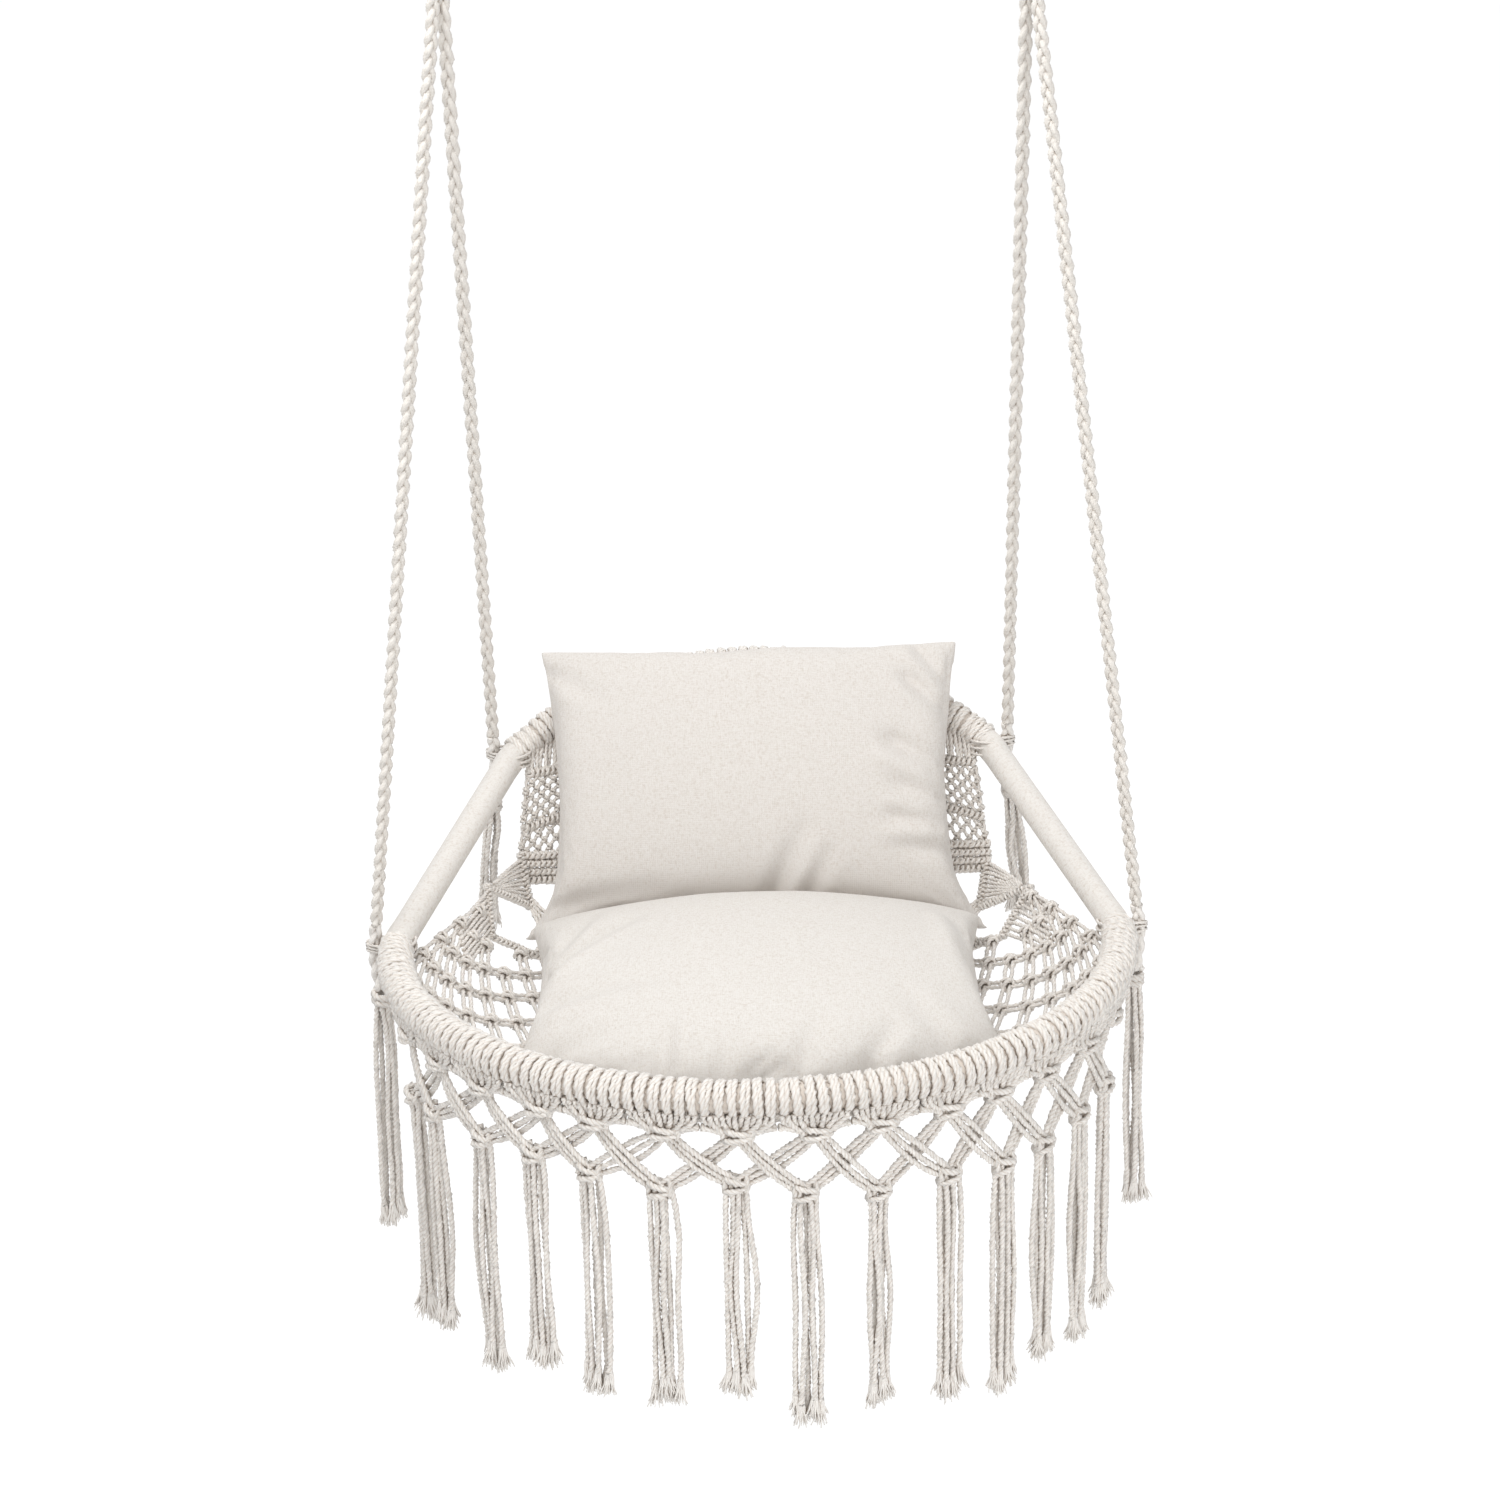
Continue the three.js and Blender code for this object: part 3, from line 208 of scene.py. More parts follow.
FRINGE_KNOTS = 14
FRINGE_PITCH = math.radians(10.9)
FRINGE_OUTSET = 4
GATHER_Z = -34
KNOT_DROP = 98
TASSEL_TOP = 6
TASSEL_WIDTH = 38
TAIL_WIDTH = 34
# Where the six cords of a tassel leave its knot: across, and forward
TASSEL_SPOTS = ((-10, 0), (-5.2, 3), (-1.8, -3), (2.2, 3.2), (5.6, -2.4), (10.2, 0.6))

# The fringe is tied by eye. From its left end: how far each gather and each lower knot stands off its even
# place, as a share of the pitch, and the drop and the length of each tassel against the usual one
GATHER_SHIFTS = (0.35, 0.33, 0.34, 0.38, 0.22, 0.19, 0.15, 0.16, 0.04, 0, -0.19, -0.28, -0.26, -0.3)
KNOT_SHIFTS = (0.35, 0.08, 0.28, 0.23, 0.11, 0.1, 0.11, 0.01, -0.02, 0, -0.09, -0.3, -0.41, -0.53)
DROP_SHARES = (1.06, 1.02, 0.95, 0.9, 0.93, 1, 0.9, 1.01, 1.09, 1.08, 1.18, 1.16, 1.1, 1.06)
TASSEL_SHARES = (1.04, 0.99, 1.06, 0.95, 0.99, 0.96, 0.93, 1.03, 0.96, 1.01, 1.02, 0.98, 1.04, 1.03)

CREASE_DEPTH = 200
CREASE_DROP = 12
CREASE_HALF_WIDTH = 250
SEAT_EDGE_RADIUS = 377
SEAT_RIM_DROP = 20.5
SEAT_SAG = 80
SEAT_EDGE_RISE = 22
BACK_NET_INSET = 19.7
BACK_NET_REACH = 0.985
BACK_NET_FOOT = 270
BAR_SHARE = 0.3
BAR_RISE_SHARE = 0.21

# Corners of the close fans at the rear of the seat net, on the left and on the right: at the crease, at the
# side, at the inner foot, low in front
LEAF_CORNERS = (((-263, 205, 14), (-296, 134, 6), (-253, 172, -34), (-291, 96, -36)),
                ((264, 205, -4), (304, 125, -8), (252, 165, -48), (272, 95, -51)))

SIDES = (("left", -1), ("right", 1))
ENDS = ("front", "back")

# Where the chance of each group of pieces starts
SEEDS = {"ropes": 31, "tails": 71, "rings": 3, "eyes": 11, "rim": 5, "side_yarn": 15, "bindings": 25,
         "corner_heads": 35, "fringe": 41, "tassels": 101, "seat_net": 61, "upper_cords": 51, "back_net": 52,
         "bars": 53}

X_AXIS, Y_AXIS, Z_AXIS = np.eye(3)
BACK_UP = np.array([0, math.cos(BACK_TILT), math.sin(BACK_TILT)])
BACK_NORMAL = np.array([0, -math.sin(BACK_TILT), math.cos(BACK_TILT)])
BACK_HALF_ANGLE = math.asin(BACK_HALF_WIDTH / RIM_RADIUS)
BACK_CENTRE = BACK_CORNER * (0, 1, 1) - BACK_UP * RIM_RADIUS * math.cos(BACK_HALF_ANGLE)


def unit(v):
    """The way of v, one unit long."""
    return v / np.linalg.norm(v)


def front_rim(angle):
    """A point on the front arc, and the ways outward, up and along at it."""
    outward = np.array([-math.cos(angle), -math.sin(angle), 0])
    along = np.array([math.sin(angle), -math.cos(angle), 0])
    return outward * RIM_RADIUS, outward, Z_AXIS, along


def back_rim(angle):
    """The same on the back arc, from its middle."""
    outward = X_AXIS * math.sin(angle) + BACK_UP * math.cos(angle)
    along = X_AXIS * math.cos(angle) - BACK_UP * math.sin(angle)
    return BACK_CENTRE + outward * RIM_RADIUS, outward, BACK_NORMAL, along


def front_corner(side):
    return np.array([side * RIM_RADIUS, 0.0, 0.0])


def back_corner(side):
    return BACK_CORNER * (side, 1, 1)


# Sizes and colours that a user may change


class CordSizes(bpy.types.PropertyGroup):
    """The cotton cord of the nets and the fringe, in millimetres."""

    diameter: bpy.props.FloatProperty(
        name="Cord diameter", description="Thickness of the fringe cord, in millimetres",
        default=6.7, min=2, max=10)
    lay: bpy.props.FloatProperty(
        name="Cord lay", description="Length of one full twist of the plies, in millimetres",
        default=16, min=6, max=60)
    net_diameter: bpy.props.FloatProperty(
        name="Net cord diameter", description="Thickness of the cord in the nets, in millimetres",
        default=6, min=2, max=8)
    head_pitch: bpy.props.FloatProperty(
        name="Head pitch", description="Distance between lark's heads along the rim, in millimetres",
        default=12.1, min=8, max=20)
    tassel_length: bpy.props.FloatProperty(
        name="Tassel length", description="Usual length of the fringe tassels, in millimetres",
        default=244, min=60, max=260)
    strand: bpy.props.FloatProperty(
        name="Rope strand", description="Thickness of one strand of the braided ropes, in millimetres",
        default=7.2, min=4, max=8)
    braid: bpy.props.FloatProperty(
        name="Braid length", description="Length in which a strand crosses over and back, in millimetres",
        default=58, min=30, max=120)


class CushionSizes(bpy.types.PropertyGroup):
    """How the two cushions are filled."""

    pressure: bpy.props.FloatProperty(
        name="Filling pressure", description="Pressure that swells each cover",
        default=2, min=0.5, max=12)
    steps: bpy.props.IntProperty(
        name="Swelling steps", description="Frames of simulation for each cover",
        default=20, min=5, max=60)
    swell: bpy.props.FloatProperty(
        name="Greatest swell", description="How far a point of a cover may move, in millimetres",
        default=14, min=5, max=40)
    slack: bpy.props.FloatProperty(
        name="Starting slack", description="How much thinner a cover starts, in millimetres",
        default=9, min=0, max=20)
    ease: bpy.props.FloatProperty(
        name="Starting ease", description="How much wider each side of a cover starts, in millimetres",
        default=8, min=0, max=20)


class Finishes(bpy.types.PropertyGroup):
    """Colours of the finishes."""

    cotton: bpy.props.FloatVectorProperty(
        name="Cotton", description="Colour of the cord where light falls on it",
        subtype="COLOR", size=3, default=(0.94, 0.915, 0.885), min=0, max=1)
    # Painted shade: the brown that creases and the valleys between plies are darkened towards.
    cotton_deep: bpy.props.FloatVectorProperty(
        name="Cotton in creases", description="Colour of the cord deep between its turns",
        subtype="COLOR", size=3, default=(0.47, 0.37, 0.28), min=0, max=1)
    linen_seat: bpy.props.FloatVectorProperty(
        name="Seat linen", description="Colour of the seat cushion",
        subtype="COLOR", size=3, default=(0.755, 0.735, 0.71), min=0, max=1)
    # A little darker than the seat linen as painted shade: the back cushion faces forward, and the light falls from
    # above.
    linen_back: bpy.props.FloatVectorProperty(
        name="Back linen", description="Colour of the back cushion",
        subtype="COLOR", size=3, default=(0.745, 0.72, 0.695), min=0, max=1)
    steel: bpy.props.FloatVectorProperty(
        name="Steel", description="Colour of the rings and tubes",
        subtype="COLOR", size=3, default=(0.55, 0.56, 0.57), min=0, max=1)


class StageSettings(bpy.types.PropertyGroup):
    """Floor, lights and view."""

    floor_drop: bpy.props.FloatProperty(
        name="Floor drop", description="How far the floor is below the hanging points",
        subtype="DISTANCE", unit="LENGTH", default=2.0, min=1.5, max=4)
    lens: bpy.props.FloatProperty(
        name="Lens", description="Focal length of the camera in millimetres",
        default=73.31, min=20, max=200)
    sky: bpy.props.FloatProperty(
        name="Sky light", description="Strength of the even light from all round",
        default=0.65, min=0, max=1)


def cords():
    return bpy.context.scene.hammock_cords


def finishes():
    return bpy.context.scene.hammock_finishes


# Cord as geometry. A section gives the share of a cord's radius at each of its sides
THREE_PLY_SHARES = (1.0, 0.74) * 3
STRAND_SHARES = (1.0,) * 8
YARN_SHARES = (1.0,) * 4

# How uneven a cord is along its length and round it, each as a share of its radius
CORD_WAVER_SHARE = 0.035
CORD_ROUGH_SHARE = 0.085
STRAND_WAVER_SHARE = 0.03
STRAND_ROUGH_SHARE = 0.05
CORD_STEP = 2.2

FRAY_LENGTH = 27
FRAY_YARNS = 24
FRAY_POINTS = 7
FRAY_WIDTH_SHARE = 0.19
FRAY_WAVE = 1.1


def distances(line):
    """How far along a line each of its points is."""
    return np.concatenate([[0], np.cumsum(np.linalg.norm(np.diff(line, axis=0), axis=1))])


def ways_along(line, guide):
    """At each point of a line: the way along it, the way nearest to the guide square to it, and the third."""
    way = np.gradient(line, axis=0)
    way /= np.maximum(np.linalg.norm(way, axis=1), 1e-9)[:, None]
    across = guide - (way * guide).sum(1)[:, None] * way
    across = across / np.maximum(np.linalg.norm(across, axis=1), 1e-9)[:, None]
    return way, across, np.cross(way, across)


def curve(points, step):
    """Points about step apart on a smooth line through the given ones."""
    p = np.asarray(points, float)
    gaps = np.linalg.norm(np.diff(p, axis=0), axis=1)
    count = max(3, math.ceil(gaps.sum() / step) + 1)
    if len(p) == 2:
        return p[0] + (p[1] - p[0]) * np.linspace(0, 1, count)[:, None]
    dt = np.sqrt(np.maximum(gaps, 1e-6))
    t = np.concatenate([[0], np.cumsum(dt)])
    slope = np.diff(p, axis=0) / dt[:, None]
    m = np.empty_like(p)
    m[0], m[-1] = slope[0], slope[-1]
    m[1:-1] = (slope[:-1] * dt[1:, None] + slope[1:] * dt[:-1, None]) / (dt[:-1] + dt[1:])[:, None]
    tt = np.linspace(0, t[-1], 4 * count)
    k = np.clip(np.searchsorted(t, tt, side="right") - 1, 0, len(p) - 2)
    h = dt[k][:, None]
    x = (tt - t[k])[:, None] / h
    fine = ((2 * x**3 - 3 * x**2 + 1) * p[k] + (x**3 - 2 * x**2 + x) * h * m[k]
            + (3 * x**2 - 2 * x**3) * p[k + 1] + (x**3 - x**2) * h * m[k + 1])
    run = distances(fine)
    at = np.linspace(0, run[-1], count)
    return np.stack([np.interp(at, run, fine[:, i]) for i in range(3)], axis=1)


class Skein:
    """Gathers the cords of one piece and makes one mesh of them."""

    def __init__(self, seed):
        self.points, self.quads, self.ends = [], [], []
        self.groove, self.tone, self.lay = [], [], []
        self.count = 0
        self.chance = np.random.default_rng(seed)

    def tube(self, line, radius, guide=Z_AXIS, twist=0.0, section=THREE_PLY_SHARES, groove=None, tone=None,
             rough=0.0):
        """A tube round a line. radius may differ from point to point; guide is any way square to the line."""
        line = np.asarray(line, float)
        _, across, up = ways_along(line, guide)
        run = distances(line)
        n, sides = len(line), len(section)
        section = np.asarray(section)
        turn = (2 * math.pi * run / twist if twist else 0 * run) + self.chance.uniform(0, 2 * math.pi)
        angle = turn[:, None] + 2 * math.pi * np.arange(sides) / sides
        size = np.broadcast_to(np.asarray(radius, float), (n,))[:, None] * section
        size = size * (1 + rough * self.chance.standard_normal(size.shape))
        ring = line[:, None] + size[..., None] * (
            np.cos(angle)[..., None] * across[:, None] + np.sin(angle)[..., None] * up[:, None])
        # The groove value is 1 in the valleys between plies; the cotton finish darkens it there as painted shade.
        depth = (1 - section) / max(1 - section.min(), 1e-9)
        depth = np.tile(depth, n) if groove is None else groove(ring.reshape(-1, 3))
        self.shell(ring, run, depth, self.chance.uniform(0, 1) if tone is None else tone)

    def shell(self, ring, run, groove, tone):
        """Joins rings of points, and notes the groove (where the finish paints shade), tone and place on the cord that
        its finish reads.
        """
        n, sides = ring.shape[:2]
        side = np.arange(sides)
        row = np.arange(n - 1)[:, None] * sides
        a, b = row + side, row + (side + 1) % sides
        first = side[::-1] + self.count
        u = np.broadcast_to(side / sides, (n - 1, sides))
        v, ahead = (np.broadcast_to(part[:, None] * MM, (n - 1, sides)) for part in (run[:-1], run[1:]))
        corners = ((u, v), (u + 1 / sides, v), (u + 1 / sides, ahead), (u, ahead))
        self.points.append(ring.reshape(-1, 3))
        self.quads.append(np.stack([a, b, b + sides, a + sides], axis=-1).reshape(-1, 4) + self.count)
        self.ends.append(np.stack([first, first[::-1] + (n - 1) * sides]))
        self.groove.append(groove)
        self.tone.append(np.full(n * sides, tone))
        self.lay.append(np.stack([np.stack(corner, -1) for corner in corners], axis=2).reshape(-1, 2))
        self.count += n * sides

    def cord(self, route, diameter=None, guide=Z_AXIS, step=CORD_STEP, lay=None, tone=None):
        """One twisted cord along a smooth route."""
        diameter = diameter or cords().diameter
        line = curve(route, step)
        radius = diameter / 2 * (1 + CORD_WAVER_SHARE * self.chance.standard_normal(len(line)))
        self.tube(line, radius, guide, cords().lay if lay is None else lay, tone=tone, rough=CORD_ROUGH_SHARE)

    def fray(self, line, diameter):
        """Loose yarns that fan out from the end of a cord."""
        way = unit(line[-1] - line[-4])
        side = unit(np.cross(way, Y_AXIS + 0.01))
        fore = np.cross(way, side)
        tone = self.chance.uniform(0, 1)
        drift = self.chance.uniform(-0.35, 0.35)
        shares = np.linspace(0, 1, FRAY_POINTS)
        width = diameter * FRAY_WIDTH_SHARE * (1.2 - 0.75 * shares)
        for k in range(FRAY_YARNS):
            turn = 2 * math.pi * (k + self.chance.uniform(0, 0.6)) / FRAY_YARNS
            out = math.cos(turn) * side + math.sin(turn) * fore * 0.6
            reach = FRAY_LENGTH * self.chance.uniform(0.7, 1.1)
            spread = diameter * self.chance.uniform(0.2, 1.2)
            base = line[-1] - way * 3 + out * diameter * 0.24
            wave = self.chance.uniform(-FRAY_WAVE, FRAY_WAVE, 2)
            route = [base + way * reach * s + (out + side * drift) * spread * s**1.5
                     + (side * wave[0] + fore * wave[1]) * math.sin(6 * s) for s in shares]
            self.tube(np.array(route), width, side, 0, YARN_SHARES, tone=tone)

    def mesh(self, name, offset=SWING):
        """One mesh of all the tubes, with flat ends, the lay as its map, and its groove and tone."""
        points = (np.concatenate(self.points) + offset) * MM
        quads = np.concatenate(self.quads)
        widths = sorted({e.shape[1] for e in self.ends})
        caps = [np.concatenate([e for e in self.ends if e.shape[1] == w]) for w in widths]
        loops = np.concatenate([quads.ravel()] + [c.ravel() for c in caps])
        sizes = np.concatenate([np.full(len(quads), 4)] + [np.full(len(c), c.shape[1]) for c in caps])
        mesh = bpy.data.meshes.new(name)
        mesh.vertices.add(len(points))
        mesh.vertices.foreach_set("co", points.ravel())
        mesh.loops.add(len(loops))
        mesh.loops.foreach_set("vertex_index", loops.astype(np.int32))
        mesh.polygons.add(len(sizes))
        starts = np.concatenate([[0], np.cumsum(sizes)[:-1]]).astype(np.int32)
        mesh.polygons.foreach_set("loop_start", starts)
        mesh.update(calc_edges=True)
        for label, values in (("groove", self.groove), ("tone", self.tone)):
            kept = mesh.attributes.new(label, "FLOAT", "POINT")
            kept.data.foreach_set("value", np.concatenate(values).astype(np.float32))
        uv = np.zeros((len(loops), 2), np.float32)
        laid = np.concatenate(self.lay)
        uv[: len(laid)] = laid
        mesh.uv_layers.new(name="lay").uv.foreach_set("vector", uv.ravel())
        mesh.shade_smooth()
        mesh.validate()
        return mesh

    def piece(self, name, material, body="swing", offset=SWING):
        """The finished piece, on its body. offset is the place of the skein's own zero."""
        made = bpy.data.objects.new(name, self.mesh(name, offset))
        bpy.context.scene.collection.objects.link(made)
        made.data.materials.append(material)
        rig.ride(made, body)
        return made


def stand_for(piece, slot, *nodes):
    """Says which nodes of the frame a piece is seen in place of, and its slot."""
    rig.replaces(piece, *nodes)
    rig.slot(piece, slot)


# Finishes. Levels and places on a ramp are shares; sizes of noise are in turns to the metre
# The colour mixed in by each cord's tone: random wear on most cords, and painted shade on the cords behind the
# gathers, which take the darkest tone.
WORN_OR_SHADED_COTTON = (0.80, 0.76, 0.71)
STAINED_COTTON = (0.68, 0.61, 0.53)
ROPE_COTTON = (0.87, 0.84, 0.80)
SIDE_YARN = (0.78, 0.755, 0.725)
AIR_SAMPLES = 6
BACK_LINEN_LEAN = math.radians(-61)


class Finish:
    """A finish, or the sky, under way: nodes are added by name and joined as they are made."""

    def __init__(self, owner, output="ShaderNodeOutputMaterial"):
        self.owner = owner
        owner.use_nodes = True
        self.tree = owner.node_tree
        self.tree.nodes.clear()
        self.output = self.tree.nodes.new(output)

    def node(self, kind, settings=None, **inputs):
        """A node with settings. An input is named, with _ for a space, or numbered, as in i0."""
        made = self.tree.nodes.new(kind)
        for key, value in (settings or {}).items():
            setattr(made, key, value)
        for key, value in inputs.items():
            numbered = key[0] == "i" and key[1:].isdigit()
            socket = made.inputs[int(key[1:]) if numbered else key.replace("_", " ")]
            if isinstance(value, bpy.types.NodeSocket):
                self.tree.links.new(value, socket)
            else:
                socket.default_value = value
        return made

    def sum(self, operation, *values):
        inputs = {f"i{k}": value for k, value in enumerate(values)}
        return self.node("ShaderNodeMath", {"operation": operation}, **inputs).outputs[0]

    def greatest(self, first, *others):
        """The greatest of several values."""
        for other in others:
            first = self.sum("MAXIMUM", first, other)
        return first

    def mix(self, factor, low, high):
        made = self.node("ShaderNodeMix", {"data_type": "RGBA"}, i0=factor, i6=low, i7=high)
        return made.outputs[2]

    def ramp(self, value, *stops):
        """A grey level for a value. Each stop is a place on the ramp and its level."""
        made = self.node("ShaderNodeValToRGB", None, Fac=value)
        ramp = made.color_ramp
        while len(ramp.elements) < len(stops):
            ramp.elements.new(0.5)
        for element, (at, grey) in zip(ramp.elements, stops):
            element.position = at
            element.color = (grey, grey, grey, 1)
        return made.outputs["Color"]

    def noise(self, vector, scale, detail=2.0, roughness=0.5):
        made = self.node("ShaderNodeTexNoise", None, Vector=vector, Scale=scale, Detail=detail,
                         Roughness=roughness)
        return made.outputs["Fac"]

    def stretched(self, vector, scale, turn=(0, 0, 0)):
        made = self.node("ShaderNodeMapping", None, Vector=vector, Scale=scale, Rotation=turn)
        return made.outputs["Vector"]

    def place(self):
        """Where a point is on its piece, in metres."""
        return self.node("ShaderNodeTexCoord").outputs["Object"]

    def open_air(self, reach):
        """Ambient occlusion: how open a point is within reach, 0 in a deep crease, 1 in the open; the finishes use it
        to paint shade.
        """
        return self.node("ShaderNodeAmbientOcclusion", {"samples": AIR_SAMPLES}, Distance=reach).outputs["AO"]

    def bump(self, height, distance, strength):
        made = self.node("ShaderNodeBump", None, Height=height, Distance=distance, Strength=strength)
        return made.outputs["Normal"]

    def coat(self, base, roughness, normal, **settings):
        """Closes the material with a plain shader of these inputs."""
        shader = self.node("ShaderNodeBsdfPrincipled", None, Base_Color=base, Roughness=roughness,
                           Normal=normal, **settings)
        return self.close(shader.outputs["BSDF"])

    def seen_or_lit(self, lighting, seen):
        """Closes with one shader for the light it gives to other things, and another for how it is seen."""
        ray = self.node("ShaderNodeLightPath").outputs
        looked_at = self.greatest(ray["Is Camera Ray"], ray["Is Glossy Ray"], ray["Is Transmission Ray"])
        mixed = self.node("ShaderNodeMixShader", None, i0=looked_at, i1=lighting, i2=seen)
        return self.close(mixed.outputs[0])

    def close(self, shader):
        self.tree.links.new(shader, self.output.inputs["Surface"])
        return self.owner


def new_finish(name):
    return Finish(bpy.data.materials.new(name))


def colour(rgb, share=1.0):
    """A colour for a socket, darkened to a share of itself."""
    return (*(c * share for c in rgb), 1.0)


def cotton_cord(name, light=None, reach=0.006, speckle=1.0):
    """Twisted cotton: pale plies with fine fibres across the lay, and painted shade, brown, in the valleys between the
    plies and in creases that ambient occlusion finds.
    """
    f = new_finish(name)
    at = f.place()
    lay = f.node("ShaderNodeUVMap", {"uv_map": "lay"}).outputs["UV"]
    groove, tone = (f.node("ShaderNodeAttribute", {"attribute_name": label}).outputs["Fac"]
                    for label in ("groove", "tone"))
    open_air = f.open_air(reach)
    fuzz = f.noise(at, 620.0, 3.0, 0.65)
    mottle = f.noise(at, 42.0, 3.0, 0.6)
    fibres = f.noise(f.stretched(lay, (26.0, 240.0, 1.0)), 1.0, 3.0, 0.6)
    # Painted shade: darker where ambient occlusion finds cord close by.
    crease = f.ramp(open_air, (0.12, 0.9), (0.36, 0.36), (0.68, 0.0))
    # Painted shade: darker in the valleys between the plies, where the groove value is high.
    ply_groove_shade = f.ramp(groove, (0.45, 0.0), (1.0, 0.5))
    specks = f.ramp(fuzz, (0.56, 0.0), (0.72, 0.3 * speckle))
    yarns = f.ramp(fibres, (0.50, 0.0), (0.72, 0.32 * speckle))
    # The strongest of the painted shade (creases and ply valleys) and of the fibres' own specks and strokes.
    dark = f.greatest(crease, ply_groove_shade, specks, yarns)
    shade = f.mix(dark, colour(light or finishes().cotton), colour(finishes().cotton_deep))
    # A random tone per cord mixes in a worn colour; the cords behind the gathers take the most of it as painted shade.
    worn_or_shaded = f.mix(f.sum("MULTIPLY", tone, 0.12), shade, colour(WORN_OR_SHADED_COTTON))
    final = f.mix(f.ramp(mottle, (0.5, 0.0), (0.8, 0.1)), worn_or_shaded, colour(STAINED_COTTON))
    height = f.sum("ADD", f.sum("MULTIPLY", fuzz, 0.5), f.sum("MULTIPLY", fibres, 0.5))
    rough = f.sum("ADD", 0.84, f.sum("MULTIPLY", fuzz, 0.12))
    return f.coat(final, rough, f.bump(height, 0.0006, 0.7), Sheen_Weight=0.25, Sheen_Roughness=0.6,
                  Specular_IOR_Level=0.15)


def linen(name, rgb, lean=0.0):
    """Washed linen: two crossing sets of fine uneven yarns, a little darker in the weave's pits, with painted shade in
    its creases where ambient occlusion finds something within 6 cm.
    """
    f = new_finish(name)
    deep = colour([c * share for c, share in zip(rgb, (0.72, 0.66, 0.60))])
    at = f.stretched(f.place(), (1, 1, 1), (lean, 0, 0))
    across = f.noise(f.stretched(at, (220.0, 700.0, 700.0)), 1.0, 3.0, 0.65)
    down = f.noise(f.stretched(at, (700.0, 220.0, 220.0)), 1.0, 3.0, 0.65)
    slubs = f.noise(f.stretched(at, (55.0, 620.0, 620.0)), 1.0, 2.0, 0.5)
    warp, weft = (f.node("ShaderNodeTexWave", {"wave_type": "BANDS", "bands_direction": way}, Vector=at,
                         Scale=150.0, Distortion=2.0, Detail=2.0, Detail_Scale=2.0).outputs["Fac"]
                  for way in ("X", "Y"))
    yarns = f.sum("MULTIPLY", f.sum("ADD", across, down), 0.5)
    weave = f.sum("MULTIPLY", f.sum("ADD", warp, weft), 0.5)
    cloud = f.noise(at, 9.0, 3.0, 0.55)
    pits = f.ramp(yarns, (0.38, 0.62), (0.50, 0.2), (0.60, 0.0))
    pores = f.ramp(weave, (0.10, 0.34), (0.45, 0.0))
    thin = f.ramp(slubs, (0.58, 0.0), (0.74, 0.16))
    # Painted shade: darker where ambient occlusion finds cloth or cord within 6 cm.
    crease = f.ramp(f.open_air(0.06), (0.1, 0.85), (0.55, 0.34), (0.9, 0.0))
    shade = f.mix(f.greatest(pits, pores, crease, thin), colour(rgb), deep)
    final = f.mix(f.ramp(cloud, (0.4, 0.0), (0.75, 0.10)), shade, colour(rgb, 0.93))
    height = f.sum("ADD", f.sum("MULTIPLY", weave, 0.6), f.sum("MULTIPLY", yarns, 0.7))
    rough = f.sum("ADD", 0.8, f.sum("MULTIPLY", yarns, 0.16))
    return f.coat(final, rough, f.bump(height, 0.0005, 0.5), Sheen_Weight=0.15, Specular_IOR_Level=0.15)


def brushed_steel(name):
    """Plain steel with fine scratches and a few duller patches."""
    f = new_finish(name)
    at = f.place()
    scratches = f.noise(f.stretched(at, (30.0, 30.0, 900.0)), 1.0, 3.0, 0.6)
    patches = f.noise(at, 60.0, 3.0, 0.6)
    base = finishes().steel
    shade = f.mix(f.ramp(patches, (0.4, 0.0), (0.8, 0.5)), colour(base), colour(base, 0.72))
    uneven = f.sum("ADD", f.sum("MULTIPLY", scratches, 0.16), f.sum("MULTIPLY", patches, 0.12))
    return f.coat(shade, f.sum("ADD", 0.24, uneven), f.bump(scratches, 0.0002, 0.3), Metallic=1.0)


MAKERS = {
    "cotton_cord": cotton_cord,
    "rope_cotton": lambda name: cotton_cord(name, ROPE_COTTON, reach=0.007, speckle=1.4),
    "side_yarn": lambda name: cotton_cord(name, SIDE_YARN, reach=0.004, speckle=1.3),
    "seat_linen": lambda name: linen(name, finishes().linen_seat),
    # The back cushion's linen colour holds painted shade, a little darker than the seat's.
    "back_linen": lambda name: linen(name, finishes().linen_back, BACK_LINEN_LEAN),
    "brushed_steel": brushed_steel,
}
MADE = {}


def finish_named(name):
    """Each finish is made once."""
    if name not in MADE:
        MADE[name] = MAKERS[name](name)
    return MADE[name]


# The ropes, their tails, and the rings and eyes. Where the front and the back differ, both values are given
ROPE_WIDTH = 0.013
ROPE_GUIDES = {"front": (0.75, -0.65), "back": (1.0, 0.35)}
ROPE_BRAID_SHARE = {"front": 0.82, "back": 1}
BRAID_STEP = 2.4
BRAID_SPREAD = 3.9
BRAID_WEAVE = 1.9
STRAND_TWIST = 26

TAIL_LENGTH = {"front": 330, "back": 215}
TAIL_DRIFT = {"front": -4, "back": 5}
TAIL_LEAN_SHARE = {"front": 0.02, "back": 0.1}
TAIL_KNOT_TOP = 52
TAIL_KNOT_FOOT = 66
TAIL_CORDS = 6
TAIL_CORD_RADIUS = 6.1
TAIL_KNOT_RADIUS = 8.2
TAIL_KNOT_HEIGHT = 14
TAIL_KNOT_TURNS = 2.1

# How far a hanging cord bows, across and forward, once in its length and then again, and its loose end
BOW = (4.4, 2.4)
SECOND_BOW = (2.6, 1.2)
OUTER_SPOT, OUTER_BOW = 8, 2.6
END_ALLOWANCE = 22

WHIPPING_TURNS = 12
WHIPPING_RADIUS = 7.9
WHIPPING_CORD = 1.65


